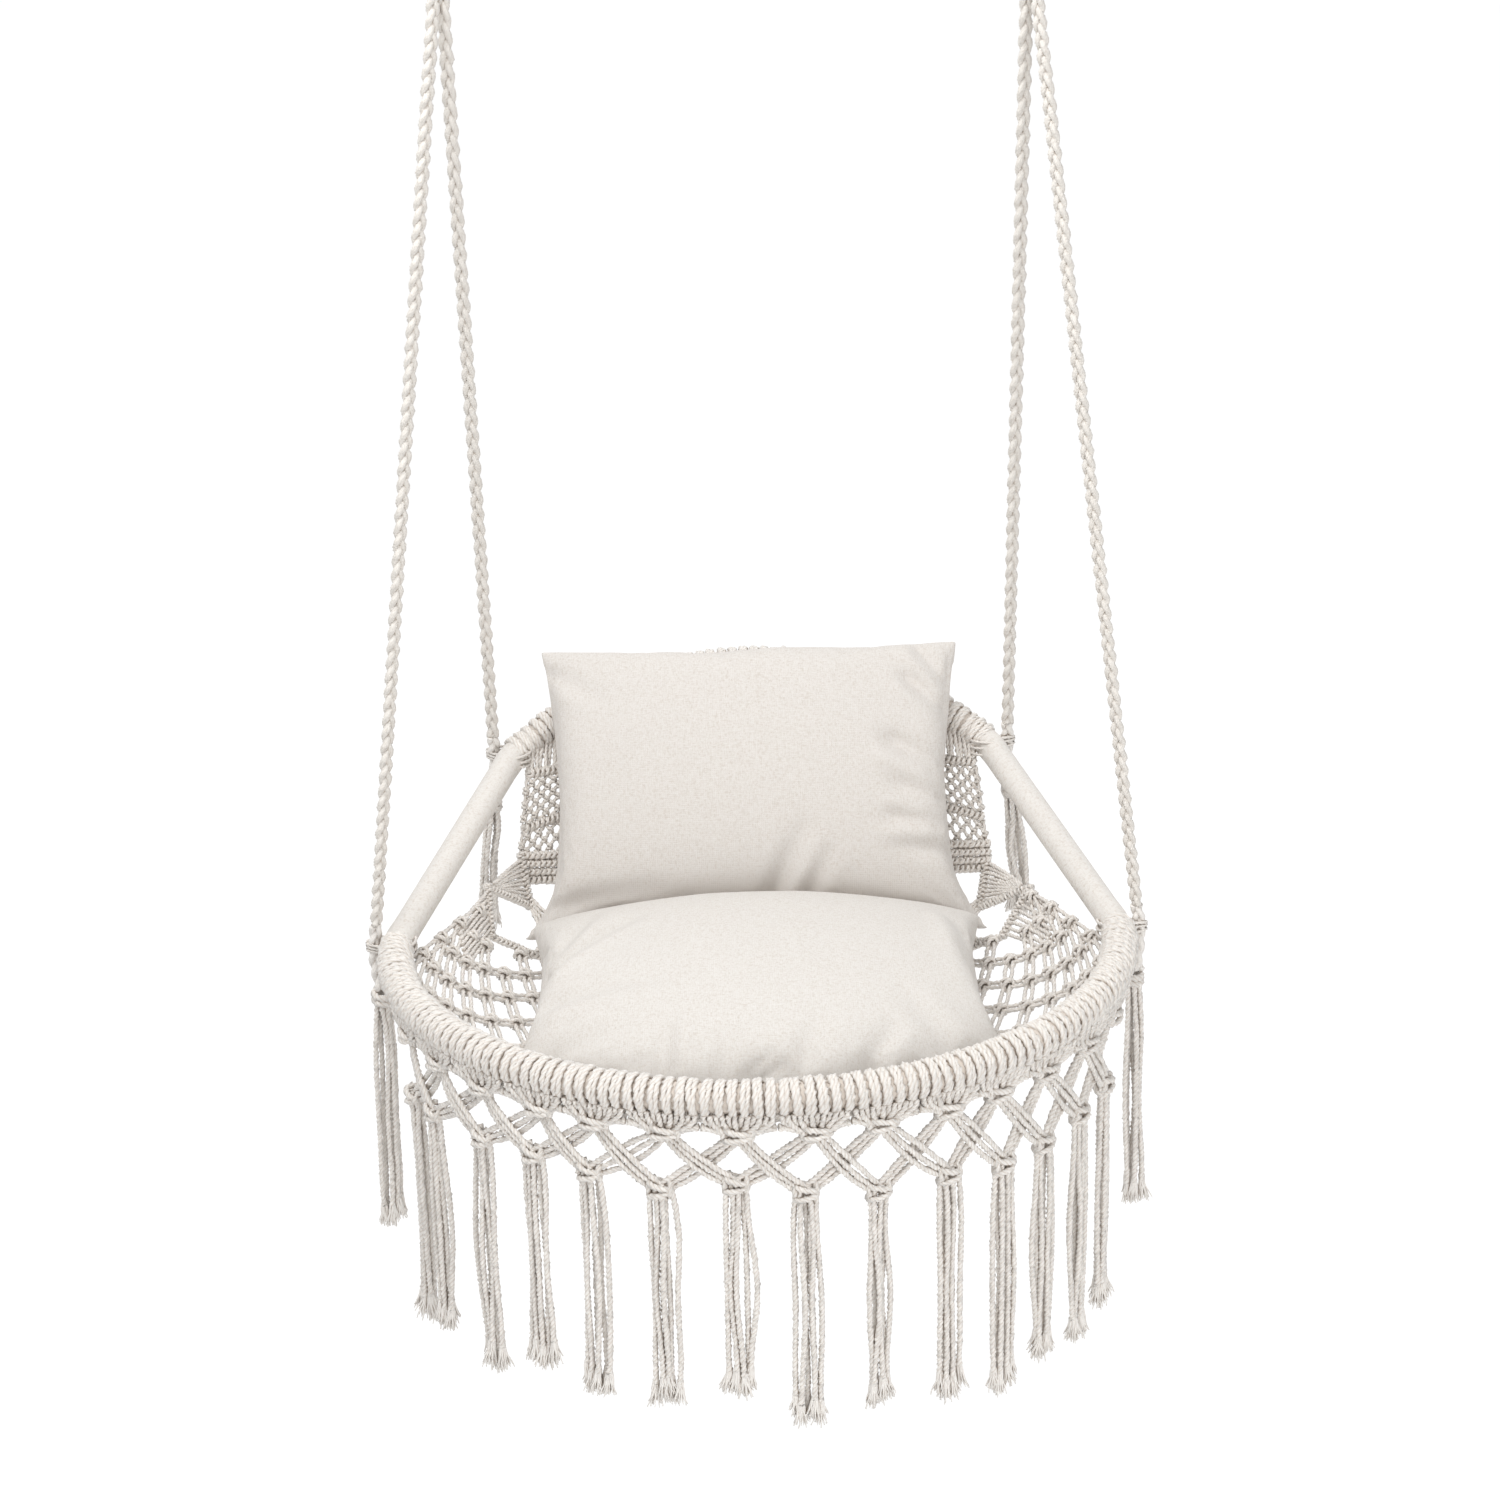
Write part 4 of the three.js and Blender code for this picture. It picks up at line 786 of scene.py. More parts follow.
def rope_corner(side, end):
    """Where the middle of a rope passes its corner."""
    offset = LASHED_RADIUS + ROPE_RADIUS + CLEARANCE
    if end == "front":
        return front_corner(side) + X_AXIS * side * offset + SWING
    outward = np.array([side * math.cos(BACK_ROPE_TURN), math.sin(BACK_ROPE_TURN), 0])
    return back_corner(side) + outward * offset + SWING


def pair_way(side):
    """From the middle of an eye towards its front rope."""
    return np.array([side * math.sin(PAIR_TURN), -math.cos(PAIR_TURN), 0])


def rope_route(side, end):
    """The rope's points from the whipping down to its corner."""
    foot_z = PIVOT_Z - WHIPPING_DROP - WHIPPING_HEIGHT - CLEARANCE
    apart = pair_way(side) * PAIR_HALF * (1 if end == "front" else -1)
    top = np.array([side * HANG_HALF_WIDTH, 0, foot_z]) + apart
    neck = top - Z_AXIS * ROPE_RUN_IN
    foot = rope_corner(side, end)
    low = foot + unit(neck - foot) * ROPE_CORNER_RISE
    between = [neck + (low - neck) * s for s in (0.12, 0.3, 0.5, 0.7, 0.88)]
    return [top, neck, *between, low]


def braid(skein, line, guide, period, strand, spread=BRAID_SPREAD, weave=BRAID_WEAVE, phase=0.0):
    """Three strands plaited along a line."""
    line = np.asarray(line)
    _, across, over = ways_along(line, guide)
    run = distances(line)

    # Painted shade: strand points near the rope's middle get a high groove value, which the finish darkens.
    def depth(points):
        nearest = np.repeat(line, len(points) // len(line), axis=0)
        away = np.linalg.norm(points - nearest, axis=1)
        return np.clip(1 - (away - 2.2) / 3.5, 0, 1)

    for k in range(3):
        turn = 2 * math.pi * (run / period + k / 3) + phase
        path = line + across * (spread * np.sin(turn))[:, None] + over * (weave * np.sin(2 * turn))[:, None]
        radius = strand / 2 * (1 + STRAND_WAVER_SHARE * skein.chance.standard_normal(len(path)))
        skein.tube(path, radius, guide, STRAND_TWIST, STRAND_SHARES, groove=depth, rough=STRAND_ROUGH_SHARE)


def laid_path(points, step):
    """The path of a cord in metres, and its length."""
    path = [list(p * MM) for p in curve(points, step)]
    return path, round(sum(math.dist(a, b) for a, b in zip(path, path[1:])), 3)


class HAMMOCK_OT_ropes(bpy.types.Operator):
    """Braided ropes, taut from the two eyes to the corners of the seat ring"""

    bl_idname = "hammock.ropes"
    bl_label = "Ropes"

    def execute(self, context):
        for name, side in SIDES:
            for number, end in enumerate(ENDS):
                route = rope_route(side, end)
                skein = Skein(SEEDS["ropes"] + number)
                across, forward = ROPE_GUIDES[end]
                guide = unit(np.array([across, forward * side, 0.0]))
                period = cords().braid * ROPE_BRAID_SHARE[end]
                braid(skein, curve(route, 2.6), guide, period, cords().strand, phase=0.7 * side)
                rope = skein.piece(f"{name}_{end}_braided_rope", finish_named("rope_cotton"),
                                   offset=HANG_POINTS)
                stand_for(rope, "rope", f"{name}_{end}_rope")
                path, length = laid_path(route, 30)
                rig.cord(rope, exit=path[0], length=length, diameter=ROPE_WIDTH, far_end="object",
                        stiffness="medium", lay="taut", path=path)
        return {"FINISHED"}


def hanging_cords(skein, top, spots, length, flare):
    """Cords that hang from a knot, one from each spot, each with a bow and a frayed end."""
    diameter = cords().diameter
    chance = skein.chance
    for x, y in spots:
        reach = length * (1 + chance.uniform(-0.045, 0.01)) - END_ALLOWANCE
        bow = chance.uniform(-1, 1, 2) * BOW + (np.sign(x) * OUTER_BOW * (abs(x) > OUTER_SPOT), 0)
        second = chance.uniform(-1, 1, 2) * SECOND_BOW
        route = []
        for s in np.linspace(0, 1, 9):
            open_out = 1 + (flare - 1) * s
            sway = bow * math.sin(math.pi * s) + second * math.sin(2.6 * math.pi * s)
            shift = np.array([x * open_out + sway[0], y * open_out + sway[1], -reach * s])
            route.append(top(shift))
        line = curve(route, CORD_STEP)
        radius = diameter / 2 * (1 + CORD_WAVER_SHARE * chance.standard_normal(len(line)))
        radius[-4:] *= np.linspace(1.0, 1.22, 4)
        skein.tube(line, radius, X_AXIS, cords().lay, rough=CORD_ROUGH_SHARE)
        skein.fray(line, diameter)


def declare_bundle(piece, points, width):
    path, length = laid_path(points, 12)
    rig.cord(piece, exit=path[0], length=length, diameter=width * MM, far_end="bare", stiffness="limp",
            lay="hanging", path=path)


class HAMMOCK_OT_tails(bpy.types.Operator):
    """The knotted end of each rope below its corner, opened into six cords"""

    bl_idname = "hammock.tails"
    bl_label = "Rope tails"

    def execute(self, context):
        for name, side in SIDES:
            for end in ENDS:
                skein = Skein(SEEDS["tails"] + side + (5 if end == "back" else 0))
                corner = rope_corner(side, end)
                low = rope_route(side, end)[-1]
                drift = TAIL_DRIFT[end] * side
                knot_top = corner + (drift, 0, -TAIL_KNOT_TOP)
                stub = curve([low, corner + (0, 0, 2), corner - (0, 0, 24), knot_top], BRAID_STEP)
                guide = unit(np.array([1.0, -0.4 * side, 0.0]))
                braid(skein, stub, guide, cords().braid * 0.9, cords().strand)
                turns = np.linspace(0, 2 * math.pi * TAIL_KNOT_TURNS, 46)
                coil = [knot_top + (TAIL_KNOT_RADIUS * math.cos(a), TAIL_KNOT_RADIUS * math.sin(a),
                                    2.0 * math.sin(a) - TAIL_KNOT_HEIGHT * a / turns[-1]) for a in turns]
                wound = curve(coil, CORD_STEP)
                skein.tube(wound, 4.3 + 0.2 * np.sin(np.arange(len(wound))), Z_AXIS, 16)
                length = TAIL_LENGTH[end] - TAIL_KNOT_FOOT
                lean = TAIL_LEAN_SHARE[end] * side
                knot = corner + (drift, 0, -TAIL_KNOT_FOOT)

                def top(shift, knot=knot, lean=lean):
                    return knot + shift - X_AXIS * lean * shift[2]

                angles = [c / TAIL_CORDS * 2 * math.pi + 0.4 for c in range(TAIL_CORDS)]
                spots = [(TAIL_CORD_RADIUS * math.cos(a), TAIL_CORD_RADIUS * math.sin(a)) for a in angles]
                hanging_cords(skein, top, spots, length, 1.4)
                tail = skein.piece(f"{name}_{end}_tail", finish_named("cotton_cord"), offset=HANG_POINTS)
                stand_for(tail, "rope", f"{name}_{end}_rope_tail")
                ends = [low, corner + (0, 0, 2), knot + (0, 0, 6), top(np.array([0, 0, -length]))]
                declare_bundle(tail, ends, TAIL_WIDTH)
        return {"FINISHED"}


class HAMMOCK_OT_eyes(bpy.types.Operator):
    """The two hanging rings, and the eye and whipping of each pair of ropes"""

    bl_idname = "hammock.eyes"
    bl_label = "Rings and eyes"

    def execute(self, context):
        for name, side in SIDES:
            centre = np.array([side * HANG_HALF_WIDTH, 0, RING_CENTRE_Z])
            pivot = np.array([side * HANG_HALF_WIDTH, 0, PIVOT_Z])
            ring = Skein(SEEDS["rings"])
            turns = np.linspace(0, 2 * math.pi, 73)
            line = [centre + RING_RADIUS * np.array([math.sin(a), 0, math.cos(a)]) for a in turns]
            ring.tube(line, RING_ROD / 2, Y_AXIS, 0, (1.0,) * 16, tone=0.5)
            hoop = ring.piece(f"{name}_ring", finish_named("brushed_steel"), "hanging_rings", HANG_POINTS)
            stand_for(hoop, "ring_steel", f"{name}_hanging_ring")

            eye = Skein(SEEDS["eyes"] + side)
            radius = RING_ROD / 2 + 0.9 + ROPE_RADIUS
            half = [(PAIR_HALF, -WHIPPING_DROP - 8), ((PAIR_HALF + radius) / 2, -WHIPPING_DROP / 2),
                    (radius, 0), (radius * 0.71, radius * 0.71), (0, radius)]
            loop = half + [(-y, z) for y, z in reversed(half[:-1])]
            route = [pivot + (0, y, z) for y, z in loop]
            braid(eye, curve(route, BRAID_STEP), X_AXIS, 40, cords().strand * 0.92, 3.0, 1.5)
            pair = pair_way(side)
            cross = np.cross(Z_AXIS, pair)
            last = 2 * math.pi * WHIPPING_TURNS
            coil = [pivot - Z_AXIS * (WHIPPING_DROP + 1.6 + (WHIPPING_HEIGHT - 3.2) * a / last)
                    + cross * WHIPPING_RADIUS * math.cos(a)
                    + pair * (WHIPPING_RADIUS + PAIR_HALF) * math.sin(a)
                    for a in np.linspace(0, last, 22 * WHIPPING_TURNS)]
            eye.tube(coil, WHIPPING_CORD, Z_AXIS, 9)
            for s in (-1, 1):
                legs = [pivot - Z_AXIS * (WHIPPING_DROP + d) + pair * PAIR_HALF * s for d in (0, 20, 40)]
                braid(eye, curve(legs, BRAID_STEP), X_AXIS, 50, cords().strand * 0.9)
            made = eye.piece(f"{name}_eye", finish_named("rope_cotton"), offset=HANG_POINTS)
            stand_for(made, "rope", f"{name}_rope_eye")
        return {"FINISHED"}


# The rim. Heads reach round the tube from one angle to another, and their sizes are shares of their pitch
FRONT_REACH = (-1.15, 4.1)
BACK_REACH = (-1.6, 4.6)
HEAD_SIZE_SHARE = 0.62
HEAD_OFFSET_SHARE = 0.15
HEAD_LAY = 26
HEAD_POINTS = 15
HEAD_TUCK = 2.4
CORE_CORD = 2.2
SIDE_COVER, SIDE_PITCH, SIDE_GROOVE, SIDE_SLANT = 3.2, 3.1, 0.7, 9.0
BINDING_COVER, BINDING_PITCH, BINDING_GROOVE, BINDING_SLANT = 3.0, 2.4, 0.5, 7.0
BINDING_BULGE = 0.9
LASHING_LEVELS = (-6.5, -1.0, 4.5)
LASHING_CORD = 4.2


def around(station, angle, radius, along=0.0):
    """A point round the tube: angle 0 is outward and 90 degrees is up."""
    at, outward, up, way = station
    return at + outward * radius * math.cos(angle) + up * radius * math.sin(angle) + way * along


def larks_head(skein, station, reach, pitch, pinch, lean):
    """Two cords close side by side over the tube, drawn together low on the outer side."""
    size = pitch * HEAD_SIZE_SHARE
    middle = TUBE_RADIUS + size / 2 - 0.5
    stray = skein.chance.uniform(0, 1.0), skein.chance.uniform(0, 6)
    puff = {s: skein.chance.uniform(-0.6, 0.6) for s in (-1, 1)}
    for s in (-1, 1):
        route = []
        for k, angle in enumerate(np.linspace(*reach, HEAD_POINTS)):
            low = max(0.0, math.cos(angle + 0.9))
            offset = s * pitch * HEAD_OFFSET_SHARE * (1 - (1 - pinch) * low**2) + lean * math.sin(angle)
            tuck = HEAD_TUCK if k in (0, HEAD_POINTS - 1) else 0.0
            wave = stray[0] * math.sin(2.1 * angle + stray[1] + s)
            out = middle - tuck + puff[s] + 0.4 * math.sin(7 * k + s)
            route.append(around(station, angle, out, offset + wave))
        skein.cord(route, size, station[3], lay=HEAD_LAY)


def heads_along(skein, rim, first, last, reach):
    """Lark's heads side by side on a stretch of the rim, over a core of cord that is all painted shade, brown where it
    shows between the heads.
    """
    run = abs(last - first) * RIM_RADIUS
    count = max(1, round(run / cords().head_pitch))
    pitch = run / count
    core = [rim(first + (last - first) * s)[0] for s in np.linspace(0, 1, max(4, 2 * count))]
    # Painted shade: the core's groove value is 1 throughout, so it takes the brown crease colour where it shows
    # between heads.
    skein.tube(core, TUBE_RADIUS + CORE_CORD, rim(first)[1], 0, (1.0,) * 12,
               groove=lambda points: np.ones(len(points)), tone=0)
    for k in range(count):
        angle = first + (last - first) * (k + 0.5) / count
        larks_head(skein, rim(angle + skein.chance.uniform(-0.6, 0.6) / RIM_RADIUS), reach,
                   pitch * skein.chance.uniform(0.98, 1.08), skein.chance.uniform(0.7, 0.9),
                   skein.chance.uniform(-1.2, 1.2))


class HAMMOCK_OT_rim(bpy.types.Operator):
    """Lark's heads side by side on the front arc and the back arc"""

    bl_idname = "hammock.rim"
    bl_label = "Rim heads"

    def execute(self, context):
        start = BINDING_REACH / RIM_RADIUS
        end = BACK_HALF_ANGLE - start
        wraps = [n for n in frame["nodes"] if "front_rim_wrap" in n]
        left, right = ([n for n in wraps if n.startswith(name)] for name, _ in SIDES)
        stretches = (("left_front_heads", front_rim, start, math.pi / 2, left, FRONT_REACH),
                     ("right_front_heads", front_rim, math.pi - start, math.pi / 2, right, FRONT_REACH),
                     ("left_back_heads", back_rim, -end, 0, ["left_back_rim_wrap"], BACK_REACH),
                     ("right_back_heads", back_rim, end, 0, ["right_back_rim_wrap"], BACK_REACH))
        for seed, (name, rim, first, last, nodes, reach) in enumerate(stretches, SEEDS["rim"]):
            skein = Skein(seed)
            heads_along(skein, rim, first, last, reach)
            stand_for(skein.piece(name, finish_named("cotton_cord")), "head_cord", *nodes)
        return {"FINISHED"}


def yarn_sleeve(skein, line, radius, guide, pitch, depth, slant, sides=28):
    """A close winding of fine yarn: ridges that climb round a tube, with painted shade between them as a groove value
    that the finish darkens.
    """
    _, across, up = ways_along(line, guide)
    run = distances(line)
    angle = 2 * math.pi * np.arange(sides) / sides
    jitter = skein.chance.standard_normal(len(line)) * 0.25
    phase = (run[:, None] + slant * np.cos(angle)[None] + jitter[:, None]) / pitch
    ridge = np.abs(np.sin(math.pi * phase))
    size = np.broadcast_to(radius, len(line))[:, None] - depth * (1 - ridge)
    ring = line[:, None] + size[..., None] * (
        np.cos(angle)[:, None] * across[:, None] + np.sin(angle)[:, None] * up[:, None])
    # Painted shade: the groove value is high between the ridges, and the finish darkens it there.
    skein.shell(ring, run, np.clip(1 - ridge * 1.4, 0, 1).ravel(), 0.5)


class HAMMOCK_OT_side_yarn(bpy.types.Operator):
    """Fine yarn wound close along both side tubes"""

    bl_idname = "hammock.side_yarn"
    bl_label = "Side yarn"

    def execute(self, context):
        for name, side in SIDES:
            skein = Skein(SEEDS["side_yarn"] + side)
            low, high = front_corner(side), back_corner(side)
            inset = unit(high - low) * (BINDING_REACH - 4)
            line = curve([low + inset, high - inset], 0.55)
            yarn_sleeve(skein, line, TUBE_RADIUS + SIDE_COVER, X_AXIS * side, SIDE_PITCH, SIDE_GROOVE,
                        SIDE_SLANT * side)
            made = skein.piece(f"{name}_side_yarn", finish_named("side_yarn"))
            stand_for(made, "side_yarn", f"{name}_side_wrap")
        return {"FINISHED"}


class HAMMOCK_OT_bindings(bpy.types.Operator):
    """Yarn and heads over the four corners, and the lashings that hold the ropes there"""

    bl_idname = "hammock.bindings"
    bl_label = "Corner bindings"

    def execute(self, context):
        for name, side in SIDES:
            for end in ENDS:
                later = 4 if end == "back" else 0
                if end == "front":
                    corner, other, rim, reach = front_corner(side), back_corner(side), front_rim, FRONT_REACH
                    begin = 0.0 if side < 0 else math.pi
                else:
                    corner, other, rim, reach = back_corner(side), front_corner(side), back_rim, BACK_REACH
                    begin = side * BACK_HALF_ANGLE

                def along_arc(distance, begin=begin, side=side):
                    return begin - side * distance / RIM_RADIUS

                skein = Skein(SEEDS["bindings"] + side + later)
                way = unit(other - corner)
                arc = [rim(along_arc(distance))[0] for distance in (BINDING_REACH - 4, 20, 11)]
                inward = unit((arc[-1] - corner) + way * 12)
                route = [*arc, corner + inward * 2.2, corner + way * 12, corner + way * 22,
                         corner + way * (BINDING_REACH + 3)]
                line = curve(route, 0.6)
                share = np.linspace(0, 1, len(line))
                radius = TUBE_RADIUS + BINDING_COVER + BINDING_BULGE * np.exp(-((share - 0.6) / 0.2) ** 2)
                yarn_sleeve(skein, line, radius, X_AXIS * side, BINDING_PITCH, BINDING_GROOVE,
                            BINDING_SLANT * side)
                made = skein.piece(f"{name}_{end}_corner_binding", finish_named("side_yarn"))
                stand_for(made, "binding_cord", f"{name}_{end}_binding")
                heads = Skein(SEEDS["corner_heads"] + side + later)
                heads_along(heads, rim, along_arc(BINDING_REACH), along_arc(2), reach)
                lashing(heads, corner, rope_corner(side, end) - SWING)
                made = heads.piece(f"{name}_{end}_corner_heads", finish_named("cotton_cord"))
                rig.slot(made, "head_cord")
        return {"FINISHED"}


def lashing(skein, corner, rope):
    """A few turns of cord round the binding and the rope beside it."""
    outward = unit((rope - corner) * (1, 1, 0))
    cross = np.cross(Z_AXIS, outward)
    far = (rope - corner) @ outward + ROPE_RADIUS + 1.6
    for k, level in enumerate(LASHING_LEVELS):
        route = []
        for a in np.linspace(0, 2 * math.pi, 25):
            reach = BINDING_RADIUS + 1.2 if math.cos(a) < 0 else far
            depth = 9.6 if math.cos(a) > 0.2 else BINDING_RADIUS + 1.0
            route.append(corner + outward * reach * math.cos(a) + cross * depth * math.sin(a)
                         + Z_AXIS * (level + 2.5 * math.cos(a + k)))
        skein.cord(route, LASHING_CORD, Z_AXIS)


# Knots and the fringe. A knot's size is across, down and through
GATHER_KNOT = (34, 17, 15)
LOWER_KNOT = (28, 21, 13)
NET_STEP = 3.4
GATHER_CORDS = 12
REAR_CORDS = 9
BUNDLE_SPREAD = 4.4
BUNDLE_SLACK = 2.6
BUNDLE_FRONT, BUNDLE_REAR = 3.4, -3.0
BUNDLE_SHARES = (0, 0.14, 0.36, 0.62, 0.86, 1)


def square_knot(skein, place, knot, size, plain=False):
    """Two crossing loops drawn tight round a bundle of cords."""
    width, height, depth = knot
    w, d = width / 2 - size / 2, depth / 2
    q = height * 0.21
    up = place(0, 1, 0) - place(0, 0, 0)
    for s, z in ((1, q), (-1, -q)):
        route = [(-s * w * 0.55, z + q * 0.9, -d * 0.9), (-s * w * 1.0, z + q * 0.75, -d * 0.1),
                 (-s * w * 0.72, z + q * 0.45, d * 0.95), (0, z, d * 1.3),
                 (s * w * 0.72, z - q * 0.45, d * 0.95), (s * w * 1.0, z - q * 0.7, -d * 0.1),
                 (s * w * 0.5, z - q * 0.5, -d * 1.05), (-s * w * 0.5, z + q * 0.1, -d * 1.2)]
        skein.cord([place(*p) for p in route], size, up, step=NET_STEP if plain else CORD_STEP)
    if plain:
        return
    for s in (-1, 1):
        route = [(s * w * 0.92, q * 2.1, -d * 0.2), (s * w * 1.04, q * 0.9, d * 0.5),
                 (s * w * 1.0, 0, d * 0.75), (s * w * 1.04, -q * 0.9, d * 0.3),
                 (s * w * 0.8, -q * 2.1, -d * 0.2)]
        skein.cord([place(*p) for p in route], size * 0.9, place(0, 0, 1) - place(0, 0, 0))


def fringe_angle(place):
    """Where a place of the fringe's even row is on the front arc."""
    return math.pi / 2 + (place - (FRINGE_KNOTS - 1) / 2) * FRINGE_PITCH


def gather_angle(i):
    return fringe_angle(i + GATHER_SHIFTS[i])


def knot_angle(i):
    return fringe_angle(i + KNOT_SHIFTS[i])


def on_rim(angle, along, z, outward):
    at, out, _, way = front_rim(angle)
    return at + out * outward + way * along + Z_AXIS * z


def gather(skein, i):
    """Cords that come down from the heads and are drawn together under the rim, others behind them, and the
    loose turns that run from this knot towards the next ones."""
    angle = gather_angle(i)
    before = gather_angle(i - 1) if i else angle - FRINGE_PITCH
    after = gather_angle(i + 1) if i < FRINGE_KNOTS - 1 else angle + FRINGE_PITCH
    low, high = (before - angle) / 2 * RIM_RADIUS, (after - angle) / 2 * RIM_RADIUS
    size = cords().diameter

    def run(*points):
        return [on_rim(angle, *point) for point in points]

    for c in range(GATHER_CORDS):
        start = low + (high - low) * (c + 0.5) / GATHER_CORDS
        rank = (c - (GATHER_CORDS - 1) / 2) * 1.9
        layer = 2.6 if c % 2 else -1.8
        sag = skein.chance.uniform(-1.2, 1.2)
        far = abs(start) / 33
        route = run((start, -12, 12.5), (start * 0.98, -17.5, 11.5 + layer * 0.3),
                    (start * (0.88 - 0.08 * far), -22 - 1.5 * far + sag * 0.5, 9.5 + layer * 0.6),
                    (start * 0.5 + rank * 0.4, -28.5 + sag, 7 + layer), (rank, -33, 5 + layer),
                    (rank, GATHER_Z - 5, 3 + layer))
        skein.cord(route, size, X_AXIS + 0.3 * Z_AXIS)
    # Painted shade: the cords behind take the darkest tone, as they lie in shade behind the gathers.
    for c in range(REAR_CORDS):
        start = low + (high - low) * (c + 0.5) / REAR_CORDS
        route = run((start, -12, -6), (start * 0.95, -22, -7), (start * 0.8, -33 + 2 * (c % 2), -4))
        skein.cord(route, size, Y_AXIS, tone=1)
    for s, end in ((-1, low), (1, high)):
        for drop in (0, 1):
            span = run((s * 9, -36 + 3 * drop, FRINGE_OUTSET + 4 - 2 * drop),
                       (s * 17, -32 + 2 * drop, FRINGE_OUTSET + 4.5), (end * 0.7, -28.5, FRINGE_OUTSET + 5),
                       (end, -26.5 + 2.5 * drop, FRINGE_OUTSET + 6 - drop))
            skein.cord(span, size * 0.98, Z_AXIS)

    def place(x, z, y):
        return on_rim(angle, x, z + GATHER_Z, FRINGE_OUTSET + 1 + y)

    square_knot(skein, place, GATHER_KNOT, size * 1.08)


def crossed_bundle(skein, i, step):
    """Three cords from a gather to the next lower knot; those that run to the right lie in front."""
    front = BUNDLE_FRONT if step > 0 else BUNDLE_REAR
    start, finish = gather_angle(i), knot_angle(i + step)
    foot = -KNOT_DROP * DROP_SHARES[i + step] - 1
    head = GATHER_Z - 3
    slack = skein.chance.uniform(0.6, 1.5) * (1.0 if step > 0 else 1.35)
    for c in (-1, 0, 1):
        stray = skein.chance.uniform(-1.4, 1.4)
        route = []
        for s in BUNDLE_SHARES:
            lens = math.sin(math.pi * s)
            shift = c * (BUNDLE_SPREAD + BUNDLE_SLACK * slack * lens)
            level = head + (foot - head) * s + shift * 0.76 + (stray - 3.5) * lens
            route.append(on_rim(start + (finish - start) * s, shift * 0.62 * step, level,
                                FRINGE_OUTSET + front * lens + 0.9 * c))
        skein.cord(route, None, front_rim(start)[1])


class HAMMOCK_OT_fringe(bpy.types.Operator):
    """Gathers under the front arc and the crossed bundles below them"""

    bl_idname = "hammock.fringe"
    bl_label = "Fringe lattice"

    def execute(self, context):
        skein = Skein(SEEDS["fringe"])
        for i in range(FRINGE_KNOTS):
            gather(skein, i)
            for step in (1, -1):
                if 0 <= i + step < FRINGE_KNOTS:
                    crossed_bundle(skein, i, step)
        made = skein.piece("fringe_crossed_bundles", finish_named("cotton_cord"))
        stand_for(made, "fringe_cord", "fringe_lattice")
        return {"FINISHED"}


class HAMMOCK_OT_tassels(bpy.types.Operator):
    """The lower knots of the fringe, each opened into a tassel of six cords"""

    bl_idname = "hammock.tassels"
    bl_label = "Tassels"

    def execute(self, context):
        for i in range(FRINGE_KNOTS):
            skein = Skein(SEEDS["tassels"] + i)
            angle = knot_angle(i)
            knot_z = -KNOT_DROP * DROP_SHARES[i]

            def place(x, z, y, angle=angle, knot_z=knot_z):
                return on_rim(angle, x, z + knot_z, FRINGE_OUTSET + y)

            def top(shift, place=place):
                return place(shift[0], TASSEL_TOP + shift[2], shift[1])

            square_knot(skein, place, LOWER_KNOT, cords().diameter * 1.06)
            length = cords().tassel_length * TASSEL_SHARES[i] + 2 * TASSEL_TOP
            spots = [(x + skein.chance.uniform(-0.9, 0.9), y) for x, y in TASSEL_SPOTS]
            hanging_cords(skein, top, spots, length, skein.chance.uniform(1.0, 1.28))
            number = f"{i + 1:02d}"
            made = skein.piece(f"tassel_{number}", finish_named("cotton_cord"))
            stand_for(made, "fringe_cord", f"fringe_tassel_{number}")
            ends = [top(np.zeros(3)) + SWING, top(np.array([0, 0, -length])) + SWING]
            declare_bundle(made, ends, TASSEL_WIDTH)
        return {"FINISHED"}


# The nets
SEAT_NET_COLUMNS, SEAT_NET_ROWS = 30, 14
SEAT_NET_KNOT = (18, 14, 9)
SEAT_NET_EDGE_SHARE = 0.012
SEAT_NET_REACH_SHARE = 0.985
PAIR_GAP = 3.1
LEAF_LAY = 18

BACK_NET_COLUMNS = 68
BACK_NET_KNOT = (9.5, 7, 6)
BACK_NET_CORD_SHARE = 0.8
BACK_CORDS = 84
# The two fields of the back net: how far down each begins and ends, as a share of the way, and its rows
UPPER_FIELD_SHARE, UPPER_FIELD_ROWS = 0.54, 7
LOWER_FIELD_SHARE, LOWER_FIELD_ROWS = (0.59, 0.88), 5
SECOND_BAR_SHARE = 0.565
BAR_RADIUS = 6.6
BAR_PITCH = 6
# The roll of hitches in the crease: how far up and back each turn lies, and their radius
CREASE_ROLL = ((9.0, 1.5), (18.0, 3.5), (27.0, 6.0))
CREASE_ROLL_RADIUS = 5.6


def seat_point(u, v):
    """A point of the seat net: u from its left end to its right end, v from the front edge to the crease."""
    angle = u * math.pi
    sine, cosine = math.sin(angle), math.cos(angle)
    front = np.array([-SEAT_EDGE_RADIUS * cosine, -SEAT_EDGE_RADIUS * sine, -SEAT_RIM_DROP])
    rear = np.array([-CREASE_HALF_WIDTH * cosine, CREASE_DEPTH, -CREASE_DROP])
    point = front + (rear - front) * v
    along = 1 - abs(2 * v - 1) ** (3 if v < 0.5 else 5)
    point[2] -= SEAT_SAG * abs(sine) ** 0.5 * along
    point[2] += SEAT_EDGE_RISE * abs(cosine) ** 6 * math.sin(v * math.pi)
    return point


def back_line(share):
    """The top and the foot of the back net at a share of its width."""
    angle = (2 * share - 1) * BACK_NET_REACH * BACK_HALF_ANGLE
    at, outward, _, _ = back_rim(angle)
    foot = np.array([BACK_NET_FOOT * math.sin(angle) / math.sin(BACK_HALF_ANGLE), CREASE_DEPTH, -CREASE_DROP])
    return at - outward * BACK_NET_INSET, foot


